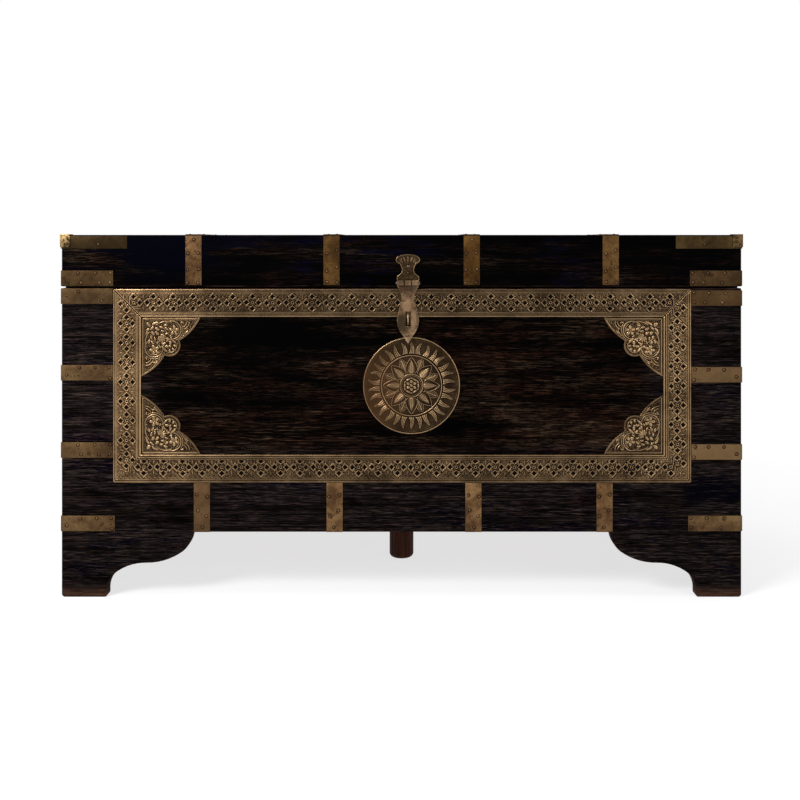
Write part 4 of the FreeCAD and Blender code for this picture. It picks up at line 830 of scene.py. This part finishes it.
def medallionRelief(radius, angle, rim):
    look = medallionLook
    around = radius * math.pi / 180
    high = np.zeros_like(radius)
    # flames: leaning tongues with two creases, each a little different
    root, tip, halfWidth = look["flame"]
    lean, stray = look["flameLean"]
    pitch = 360 / look["flames"]
    index = np.floor(angle / pitch)
    chance = chanceOf(index, 78.233, 4.1)
    share = (radius - root) / (tip - root - np.abs(chance) * 4)
    flaming = (share > 0) * (share < 1)
    lean = (lean + chance * stray) * np.sin(share * 4.2) * np.sign(np.sin(index * 2.3 + 0.4))
    side = (angle - (index + 0.5) * pitch) * around - lean * 0.7
    width = halfWidth * np.clip(1 - share, 0, 1) ** 0.66 + 0.05
    tongue = smooth(1.3 - np.abs(side) / width) * smooth(share / 0.05) * (share < 1)
    creases = 1.05 * (ridge(side - width * 0.36, 0.95) + ridge(side + width * 0.30, 0.95))
    high = np.maximum(high, tongue * (1.60 - creases) - 0.25 * flaming)
    high -= (0.65 * ridge(side - width - 0.7, 1.0) + 0.30 * ridge(side + width + 0.5, 0.8)) * flaming
    # pointed petals, each inside its own outline
    root, tip, halfWidth = look["petal"]
    bladeRoot, bladeTip, bladeWidth = look["blade"]
    pitch = 360 / look["petals"]
    across = ((angle + pitch / 2) % pitch - pitch / 2) * around
    share = (radius - root) / (tip - root)
    width = bulge(share, halfWidth, 0.62, 0.85)
    inner = bulge((radius - bladeRoot) / (bladeTip - bladeRoot), bladeWidth, 0.6, 0.9)
    blade = smooth(1.2 - np.abs(across) / inner) * (radius > bladeRoot) * (radius < bladeTip)
    outline = ridge(np.abs(across) - width, 0.95) * (share > 0.04) * (share < 1)
    behind = ~((np.abs(across) < width) & (share > 0) & (share < 1))
    veins = 0.40 * (ridge(across, 0.7) + ridge(np.abs(across) - 3.0, 0.7))
    high = np.maximum(high, blade * (1.15 - veins))
    high = np.maximum(high, outline * 0.95)
    # shorter, hatched petals between them
    root, tip, halfWidth = look["shortPetal"]
    across = (angle % pitch - pitch / 2) * around
    share = (radius - root) / (tip - root)
    width = bulge(share, halfWidth, 0.9, 0.8)
    short = smooth(1.2 - np.abs(across) / (width * 0.78)) * (share > 0.1) * (share < 0.86)
    outline = ridge(np.abs(across) - width, 0.8) * (share > 0.12) * (share < 1)
    high = np.maximum(high, short * (0.725 + 0.275 * np.sin(across * 1.9 + 1.5)) * behind)
    high = np.maximum(high, outline * 0.7 * behind)
    # the middle: lobes round a bead, and two rings of small leaves
    x, z = radius * np.cos(np.radians(angle)), radius * np.sin(np.radians(angle))
    high = np.maximum(high, bead(x, z, (0, 0), *look["bead"]))
    for turn in range(0, 360, 360 // look["lobes"]):
        for reach, ahead, lie, *form in look["leaves"]:
            high = np.maximum(high, petal(x, z, spoke((0, 0), reach, turn + ahead), turn + lie, *form))
    for line, height, width in look["lines"]:
        high = np.maximum(high, height * ridge(radius - line, width))
    high -= sum(depth * ridge(radius - line, 1.0) for line, depth in look["grooves"])
    high = np.maximum(high, 0.26 * ridge(radius - rim + 1.5, 1.3)) - 0.30 * ridge(radius - rim + 3.4, 1.0)
    high += 0.06 * stipple(x, z, 1.0) + 0.12 * stipple(x, z, 17.0)
    return high - 0.9 * smooth((0.7 - (rim - radius)) / 0.7) + look["thick"]


low, high = (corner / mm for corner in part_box("medallion"))
centre, rim = (low + high) / 2, (high.x - low.x) / 2
rays = medallionLook["rays"]
radius = np.linspace(0.35, rim, medallionLook["rings"])
radius, angle = np.meshgrid(radius, np.arange(rays) * 360 / rays, indexing="ij")
angle = (angle + medallionLook["turn"]) % 360
x, z = centre.x + radius * np.cos(np.radians(angle)), centre.z + radius * np.sin(np.radians(angle))
reliefSheet("medallion_relief", x, z, medallionRelief(radius, angle, rim), "medallion",
            wrapped=True, gain=0.36, level=0.47, sharp=3.0)
print("medallion embossed")

# boards
boardLook = {"edge": 0.0011, "lidEdge": 0.0009, "battenEdge": 0.0008, "blockEdge": 0.0006, "footEdge": 0.0005,
             "padEdge": 0.0004}
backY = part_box("back_board")[1].y
leftX, rightX = (corner.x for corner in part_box("front_board"))
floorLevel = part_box("bottom_board")[0].z
longWoods, sideWoods = [frontWood, wornWood, insideWood], [sideWood, wornSideWood, insideSideWood]
lidWoods = [lidWood, wornWood, insideWood]
edge, lidEdge, battenEdge = boardLook["edge"], boardLook["lidEdge"], boardLook["battenEdge"]
# node, name, finishes, slot, rounding of the edges, the way the inner face looks, and the height below
# which the feet are stained all round
for node, name, finishes, slot, width, inward, split in [
        ("front_board", "front_panel", longWoods, "dark_wood", edge, (0, 1, 0), floorLevel),
        ("back_board", "back_panel", longWoods, "dark_wood", edge, (0, -1, 0), floorLevel),
        ("left_side_board", "left_panel", sideWoods, "dark_wood", edge, (1, 0, 0), floorLevel),
        ("right_side_board", "right_panel", sideWoods, "dark_wood", edge, (-1, 0, 0), floorLevel),
        ("bottom_board", "floor_panel", [insideWood] * 2, "inner_wood", 0, None, 0),
        ("bottom_battens", "floor_battens", [insideWood] * 2, "inner_wood", battenEdge, None, 0),
        ("foot_bearer", "centre_bearer", [insideSideWood] * 2, "inner_wood", battenEdge, None, 0),
        ("foot_blocks", "corner_blocks", longWoods[:2], "dark_wood", boardLook["blockEdge"], None, 0),
        ("rear_foot_brackets", "rear_brackets", longWoods[:2], "dark_wood", battenEdge, None, 0),
        ("centre_foot", "turned_foot", [footWood] * 2, "red_wood", boardLook["footEdge"], None, 0),
        ("lid_front", "lid_front_panel", lidWoods, "dark_wood", lidEdge, (0, 1, 0), 0),
        ("lid_back", "lid_back_panel", lidWoods, "dark_wood", lidEdge, (0, -1, 0), 0),
        ("lid_left_end", "lid_left_panel", sideWoods, "dark_wood", lidEdge, (1, 0, 0), 0),
        ("lid_right_end", "lid_right_panel", sideWoods, "dark_wood", lidEdge, (-1, 0, 0), 0),
        ("lid_top", "lid_top_panel", [topWood, wornWood, insideWood], "dark_wood", lidEdge, (0, 0, -1), 0),
        ("rim_pads", "rim_felt_pads", [padFelt] * 2, "felt", boardLook["padEdge"], None, 0)]:
    softened(node, name, finishes, width, inward=inward, split=split)
print("boards made")

# straps, bands, hinges and handles
metalLook = {"strapEdge": 0.00035, "haspEdge": 0.0009, "hingeEdge": 0.0003, "pinEdge": 0.0004,
             "plateEdge": 0.0005}
for node, finish in [("front_left_corner_straps", strapBrass), ("front_right_corner_straps", strapBrass),
                     ("rear_left_corner_straps", strapBrass), ("rear_right_corner_straps", strapBrass),
                     ("lid_corner_straps", lidStrapBrass), ("lid_crown_straps", crownBrass),
                     ("rail_bands", railBrass),
                     *(("lid_band_%d" % number, finish) for number, finish in enumerate(bandBrass, 1))]:
    softened(node, node + "_brass", [finish, finish], metalLook["strapEdge"])
hingeEdge, plateEdge = metalLook["hingeEdge"], metalLook["plateEdge"]
# where the second finish is the lighter brass, the rounded edges carry a painted highlight as well as wear
for node, name, finishes, slot, width, segments in [
        ("lid_corner_caps", "worn_corner_caps", [goldBrass] * 2, "bright_brass", plateEdge, 2),
        ("hasp", "hasp_tongue", [hingeBrass, rubbedHighlitBrass], "brass", metalLook["haspEdge"], 3),
        ("hasp_pin", "hasp_hinge_pin", [pinSteel] * 2, "pin_metal", plateEdge, 2),
        ("staple", "hasp_staple", [rubbedHighlitBrass] * 2, "brass", metalLook["haspEdge"], 3),
        ("hinge_lower_leaves", "lower_hinge_leaves", [strapBrass, rubbedHighlitBrass], "brass", hingeEdge, 2),
        ("hinge_upper_leaves", "upper_hinge_leaves", [strapBrass, rubbedHighlitBrass], "brass", hingeEdge, 2),
        ("hinge_pins", "lid_hinge_pins", [pinSteel] * 2, "pin_metal", metalLook["pinEdge"], 2),
        ("left_handle_plate", "left_bail_plate", [strapBrass, rubbedHighlitBrass], "brass", plateEdge, 2),
        ("left_handle", "left_bail", [hingeBrass] * 2, "brass", 0, 2),
        ("right_handle_plate", "right_bail_plate", [strapBrass, rubbedHighlitBrass], "brass", plateEdge, 2),
        ("right_handle", "right_bail", [hingeBrass] * 2, "brass", 0, 2)]:
    softened(node, name, finishes, width, segments)
print("metal sheets made")

# the hasp's upper plate, its barrel and the staple, in millimetres
haspLook = {
    "middle": 11.0,
    "head": (575.6, 21.2, 9.6),      # middle height, half width and half height of the oval head
    "neck": (10.7, 557.0),           # half width, and its height
    "flare": (8.7, 9.5),             # how much it widens below, over this height
    "shoulder": (3.5, 11.0),         # and above
    "foot": 539.0,
    "grid": (76, 61),                # points up and across
    "fan": (17.5, 12.5, 564.5),      # half width, height and base of the fan of seven petals
    "fanPetal": (4.6, 1.7, 0.50),    # half length, half width and height
    "boss": ((0.8, 564.4), 20, 2.6, 1.9, 0.6),
    "thick": 1.7,
    "barrel": 5.5,                   # radius round the pin
    "knuckles": [(-19.0, -6.9), (-5.9, 5.9), (6.9, 19.0)],
    "sides": 40,
    "pin": (-234.1, 535.9),
    "staple": 0.68,                  # the staple's width as a share of its solid's, to clear the slot
}
look = haspLook
for corner in bpy.data.objects["hasp_staple"].data.vertices:
    corner.co.x = look["middle"] * mm + (corner.co.x - look["middle"] * mm) * look["staple"]


def plateHalfWidth(z):
    headZ, headWide, headTall = haspLook["head"]
    neck, neckZ = haspLook["neck"]
    (flare, flareTall), (shoulder, shoulderTall) = haspLook["flare"], haspLook["shoulder"]
    head = headWide * np.sqrt(np.clip(1 - ((z - headZ) / headTall) ** 2, 0, 1)) ** 0.9
    below = neck + flare * np.clip((neckZ - z) / flareTall, 0, 1) ** 1.8
    below = below + shoulder * np.clip((z - neckZ) / shoulderTall, 0, 1) ** 2
    return np.where(z < headZ - headTall / 2, np.maximum(head, below), head)


rise = np.sin(np.linspace(0, 1, look["grid"][0]) * math.pi / 2) ** 0.8
levels = look["foot"] + (look["head"][0] + look["head"][2] - 0.02 - look["foot"]) * rise
half = plateHalfWidth(levels)
edge = np.concatenate([np.stack([half, levels], axis=-1), np.stack([-half, levels], axis=-1)])
share = np.linspace(-1, 1, look["grid"][1])
x, z = half[:, None] * share[None, :], levels[:, None] + 0 * share[None, :]
far = np.min([np.hypot(x - ex, z - ez) for ex, ez in edge], axis=0)
high = 0.55 * ridge(far - 1.2, 1.4) - 0.25 * ridge(far - 3.0, 1.1)
fanWide, fanTall, fanBase = look["fan"]
for lean in range(-63, 64, 21):
    spot = (fanWide * math.sin(math.radians(lean)), fanBase + fanTall * math.cos(math.radians(lean)))
    high = np.maximum(high, petal(x, z, spot, 90 - lean, *look["fanPetal"]))
high = np.maximum(high, petal(x, z, *look["boss"])) + 0.10 * stipple(x, z, 5.0)
high = high - 0.9 * smooth((0.7 - far) / 0.7) + look["thick"]
reliefSheet("hasp_plate_relief", x + look["middle"], z, high, "hasp_plate", gain=0.30)


# lengths of rolled sheet round the pin, with rounded ends
def knuckle(name, spans, body):
    look = haspLook
    pinY, pinZ = look["pin"]
    sides, middle = look["sides"], look["middle"]
    corners, faces = [], []
    for begin, end in spans:
        base = len(corners)
        rings = [(begin, 0.3), (begin, 0.86), (begin + 0.5, 1.0), (begin + 2.0, 1.02),
                 ((begin + end) / 2, 0.985),
                 (end - 2.0, 1.02), (end - 0.5, 1.0), (end, 0.86), (end, 0.3)]
        for across, swell in rings:
            for k in range(sides):
                y, z = spoke((pinY, pinZ), look["barrel"] * swell, 360 * k / sides)
                corners.append(((middle + across) * mm, y * mm, z * mm))
        last = len(corners) - sides
        for first in range(base, last, sides):
            faces += tubeFaces(first, first + sides, sides)
        faces.append(tuple(range(base, base + sides)))
        faces.append(tuple(range(last + sides - 1, last - 1, -1)))
    turnOutward(meshPiece(name, corners, faces, [knuckleBrass], body, (), 50))


left, centre, right = look["knuckles"]
knuckle("hasp_side_knuckles", [left, right], "lid")
knuckle("hasp_middle_knuckle", [centre], "hasp_arm")
print("hasp plate embossed")

# nails
nailLook = {
    # radius and height of each ring, from the edge of the dark dent to the bright dome
    "profile": [(3.4, 0.0), (2.72, 0.20), (1.98, 0.06), (1.8, 0.25), (1.548, 0.52), (0.936, 0.82)],
    "rise": 0.95,
    "sides": 14,
    "uneven": 0.07,   # how much the sizes differ, from the nail's own place
    "wave": (91700, 53300, 77100),
    "sheet": 0.0012,  # thickness of the straps, in metres
    # places on a strap: the share along it from the corner or the top, and the share across it
    "seven": [(0.11, 0.05), (0.38, -0.66), (0.37, 0.57), (0.70, -0.72), (0.69, 0.66), (0.955, -0.78),
              (0.955, 0.57)],
    "six": [(0.32, -0.64), (0.65, -0.66), (0.95, -0.70), (0.38, 0.58), (0.73, 0.58), (0.94, 0.54)],
    "five": [(0.35, -0.64), (0.66, -0.66), (0.93, -0.68), (0.10, 0.26), (0.95, 0.68)],
    "three": [(0.33, -0.57), (0.78, 0.62), (0.10, -0.08)],
    "rail": [(0.28, -0.68), (0.24, 0.62), (0.56, 0.46), (0.68, -0.57), (0.90, -0.1)],
    "crown": [(0.56, 0.35)],
    "top": [(0.12, -0.62), (0.42, 0.60), (0.74, -0.58)],
}


class NailBox:
    # gathers the nails of one body into one mesh
    def __init__(self):
        self.corners, self.faces, self.dirty = [], [], []

    def drive(self, spot, normal, size=1.0):
        look = nailLook
        wave = math.sin(sum(c * f for c, f in zip(spot, look["wave"])))
        size = size * (1 + look["uneven"] * wave) * mm
        up, spot = Vector(normal), Vector(spot)
        side = up.orthogonal().normalized()
        other = up.cross(side)
        base, sides = len(self.corners), look["sides"]
        for radius, rise in look["profile"]:
            for k in range(sides):
                across, along = spoke((0, 0), radius, 360 * k / sides)
                self.corners.append(spot + (side * across + other * along + up * rise) * size)
        last = len(self.corners) - sides
        self.corners.append(spot + up * look["rise"] * size)
        for first in range(base, last, sides):
            self.faces += tubeFaces(first + sides, first, sides)
        self.faces += [(last + k, last + (k + 1) % sides, last + sides) for k in range(sides)]
        self.faces.append(tuple(range(base + sides - 1, base - 1, -1)))
        # the two outermost rings and the underside are the dirty dent
        self.dirty += [True] * (2 * sides) + [False] * (4 * sides) + [True]

    def row(self, begin, end, across, normal, pattern):
        begin, end, across = Vector(begin), Vector(end), Vector(across)
        for along, aside in nailLook[pattern]:
            self.drive(begin.lerp(end, along) + across * aside, normal)

    def piece(self, name, node):
        corners = [tuple(corner) for corner in self.corners]
        made = meshPiece(name, corners, self.faces, [nailBrass, nailDirt], bodyOf[node], [node])
        for face, dirty in zip(made.data.polygons, self.dirty):
            face.material_index = int(dirty)


chestNails, lidNails = NailBox(), NailBox()
frontFace, rearFace = frontY - nailLook["sheet"], backY + nailLook["sheet"]
strapLook = {
    "width": 0.0264,
    "turn": 0.088,            # how far each strap goes round the corner
    "lidLeg": 0.088,
    "crown": (0.022, 0.112),  # width and leg of the straps at the lid's upper edge
    "levels": [0.5004, 0.3695, 0.2377, 0.1126],
    "legs": {-1: [0.0875] * 3 + [0.091], 1: [0.0853] * 3 + [0.091]},
    "drops": {-1: [0.0] * 4, 1: [0.0033] * 3 + [0.0]},  # the right straps sit a little lower
    "front": {-1: ["three", "five", "six", "five"], 1: ["six", "five", "five", "six"]},
    "side": ["six", "five", "six", "five"],
    "rails": [-0.2936, -0.0984, 0.1057, 0.2986],        # middles, in shares of the chest's width
    "railHalf": 0.0138,
    "topRows": 4,             # repeats of the pattern over the lid's top
}


# the nails of one strap round a corner: on the front or back, and on the side
def strapNails(nails, base, width, hand, rear, leg, front, side):
    middle, half = base + width / 2, width / 2
    edgeX, edgeY = (leftX if hand < 0 else rightX), (backY if rear else frontY)
    faceX, faceY = edgeX + hand * nailLook["sheet"], (rearFace if rear else frontFace)
    way = 1 if rear else -1
    nails.row((edgeX, faceY, middle), (edgeX - hand * leg, faceY, middle), (0, 0, -half), (0, way, 0), front)
    end = (faceX, edgeY - way * strapLook["turn"], middle)
    nails.row((faceX, edgeY, middle), end, (0, 0, -half), (hand, 0, 0), side)


look = strapLook
crownWidth, crownLeg = look["crown"]
lidBase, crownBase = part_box("lid_corner_straps")[0].z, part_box("lid_crown_straps")[0].z
for hand in (-1, 1):
    for rear in (False, True):
        for level, base in enumerate(look["levels"]):
            base, leg = base - look["drops"][hand][level], look["legs"][hand][level]
            front = "six" if rear else look["front"][hand][level]
            strapNails(chestNails, base, look["width"], hand, rear, leg, front, look["side"][level])
        strapNails(lidNails, lidBase, look["width"], hand, rear, look["lidLeg"], "six", "six")
        strapNails(lidNails, crownBase, crownWidth, hand, rear, crownLeg, "crown", "crown")

rows = look["topRows"]
for number in range(1, 5):
    low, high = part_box("lid_band_%d" % number)
    middle, half = (low.x + high.x) / 2, (high.x - low.x) / 2
    across = (-half if number % 2 == 0 else half, 0, 0)
    for face, way, pattern in ((frontFace, -1, "seven" if number in (1, 3) else "six"), (rearFace, 1, "six")):
        lidNails.row((middle, face, high.z), (middle, face, low.z), across, (0, way, 0), pattern)
    for part in range(rows):
        begin, end = (frontY + (backY - frontY) * (part + more) / rows for more in (0, 1))
        lidNails.row((middle, begin, high.z), (middle, end, high.z), across, (0, 0, 1), "top")
low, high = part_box("rail_bands")
for number, share in enumerate(look["rails"]):
    middle = (rightX - leftX) * share
    across = (-look["railHalf"] if number % 2 == 0 else look["railHalf"], 0, 0)
    chestNails.row((middle, frontFace, high.z), (middle, frontFace, low.z), across, (0, -1, 0), "rail")

# hinge leaves and handle plates
fittingLook = {
    "leafEnd": 0.03,          # from a row's end to the middle of its leaf
    "leafMiddle": 0.019,      # from the free edge of a leaf to its middle
    "leafThick": 0.002,
    "leafScrews": [(-0.022, -0.010), (0, 0.008), (0.022, -0.010)],
    "plateThick": 0.0025,
    "plateEnd": 0.006,
    "plateRise": 0.017,
}
look = fittingLook
for nails, node, way in ((chestNails, "hinge_lower_leaves", -1), (lidNails, "hinge_upper_leaves", 1)):
    low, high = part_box(node)
    centreZ = low.z + look["leafMiddle"] if way < 0 else high.z - look["leafMiddle"]
    for middle in (low.x + look["leafEnd"], (low.x + high.x) / 2, high.x - look["leafEnd"]):
        for dx, dz in look["leafScrews"]:
            nails.drive((middle + dx, backY + look["leafThick"], centreZ + dz * way), (0, 1, 0))
for hand, node, edgeX in ((-1, "left_handle_plate", leftX), (1, "right_handle_plate", rightX)):
    low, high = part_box(node)
    face, middle = edgeX + hand * look["plateThick"], (low.z + high.z) / 2
    for y in (low.y + look["plateEnd"], 0.0, high.y - look["plateEnd"]):
        for rise in (-look["plateRise"], look["plateRise"]):
            chestNails.drive((face, y, middle + rise), (hand, 0, 0))
chestNails.piece("chest_nail_heads", "chest_nails")
lidNails.piece("lid_nail_heads", "lid_nails")

# the three rivets of the upper plate, smaller than the nails and as high as their solids
rivetLook = {"inset": 0.003, "size": 0.7}
rivets = NailBox()
low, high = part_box("hasp_rivets")
inset, size = rivetLook["inset"], rivetLook["size"]
for x, z in ((low.x + inset, high.z - inset), (high.x - inset, high.z - inset),
             ((low.x + high.x) / 2, low.z + inset)):
    rivets.drive((x, low.y + nailLook["rise"] * size * mm, z), (0, -1, 0), size)
rivets.piece("hasp_plate_rivets", "hasp_rivets")
print("nails driven")

# floor, light and camera
studio = {
    "wall": (1.0, 1.0, 1.0),
    "dim": 0.24,              # how much of the white wall lights the chest
    "camera": (0, -1.986, 0.606),
    "lens": 46.3,
    "sensor": 36.0,
    "shift": (-0.0019, -0.1976),
    "floor": 12.0,            # half its side
    "fade": (0.75, 1.5),      # from the middle, the floor's own white grows between these
    "paper": [(0.30, 0.30, 0.305), (0, 0, 0)],       # what reflects near and far
    "glow": [(0.71, 0.71, 0.715), (1, 1, 1)],        # what it shines with near and far
    # name, place, aim, width, height and power of each lamp
    "lamps": [("key_light", (-1.7, -2.0, 2.1), (0, -0.2, 0.3), 1.1, 0.9, 95),
              ("fill_light", (2.0, -2.2, 1.1), (0, -0.2, 0.35), 1.2, 1.2, 22),
              ("top_light", (0, 0.3, 3.2), (0, 0.2, 0), 4.0, 3.0, 80)],
}
scene = bpy.context.scene
# the floor is pale paper: part of its white is its own, so that shadows stay soft
ground = Finish("pale_floor", Roughness=1.0, Specular_IOR_Level=0.0, Emission_Strength=1.0)
away = ground.length(ground.place()).within(*studio["fade"])
ground.feed(Base_Color=ground.blend(away, *studio["paper"]),
            Emission_Color=ground.blend(away, *studio["glow"]))
size = studio["floor"]
floorMesh = bpy.data.meshes.new("studio_floor")
floorCorners = [(-size, -size, 0), (size, -size, 0), (size, size, 0), (-size, size, 0)]
floorMesh.from_pydata(floorCorners, [], [(0, 1, 2, 3)])
floorMesh.materials.append(ground.material)
floor = bpy.data.objects.new("studio_floor", floorMesh)
scene.collection.objects.link(floor)

# the wall is seen as white, and lights the chest only dimly
world = bpy.data.worlds.new("studio")
scene.world = world
world.use_nodes = True
sky = world.node_tree
lit, seen = sky.nodes["Background"], sky.nodes.new("ShaderNodeBackground")
for wall in (lit, seen):
    wall.inputs["Color"].default_value = rgba(studio["wall"])
lit.inputs["Strength"].default_value = studio["dim"]
ray, choice = sky.nodes.new("ShaderNodeLightPath"), sky.nodes.new("ShaderNodeMixShader")
for wire, socket in ((ray.outputs["Is Camera Ray"], choice.inputs[0]), (lit.outputs[0], choice.inputs[1]),
                     (seen.outputs[0], choice.inputs[2]),
                     (choice.outputs[0], sky.nodes["World Output"].inputs["Surface"])):
    sky.links.new(wire, socket)

for name, place, aim, width, height, power in studio["lamps"]:
    lamp = bpy.data.lights.new(name, "AREA")
    lamp.shape = "RECTANGLE"
    lamp.size, lamp.size_y, lamp.energy = width, height, power
    stand = bpy.data.objects.new(name, lamp)
    stand.location = place
    stand.rotation_euler = (Vector(aim) - Vector(place)).to_track_quat("-Z", "Y").to_euler()
    scene.collection.objects.link(stand)

camera = bpy.data.cameras.new("photo_camera")
camera.lens, camera.sensor_width = studio["lens"], studio["sensor"]
camera.shift_x, camera.shift_y = studio["shift"]
eye = bpy.data.objects.new("photo_camera", camera)
eye.location = studio["camera"]
eye.rotation_euler = (math.radians(90), 0, 0)
scene.collection.objects.link(eye)
bpy.context.scene.camera = eye
scene.view_settings.view_transform = "Standard"
print("studio set")
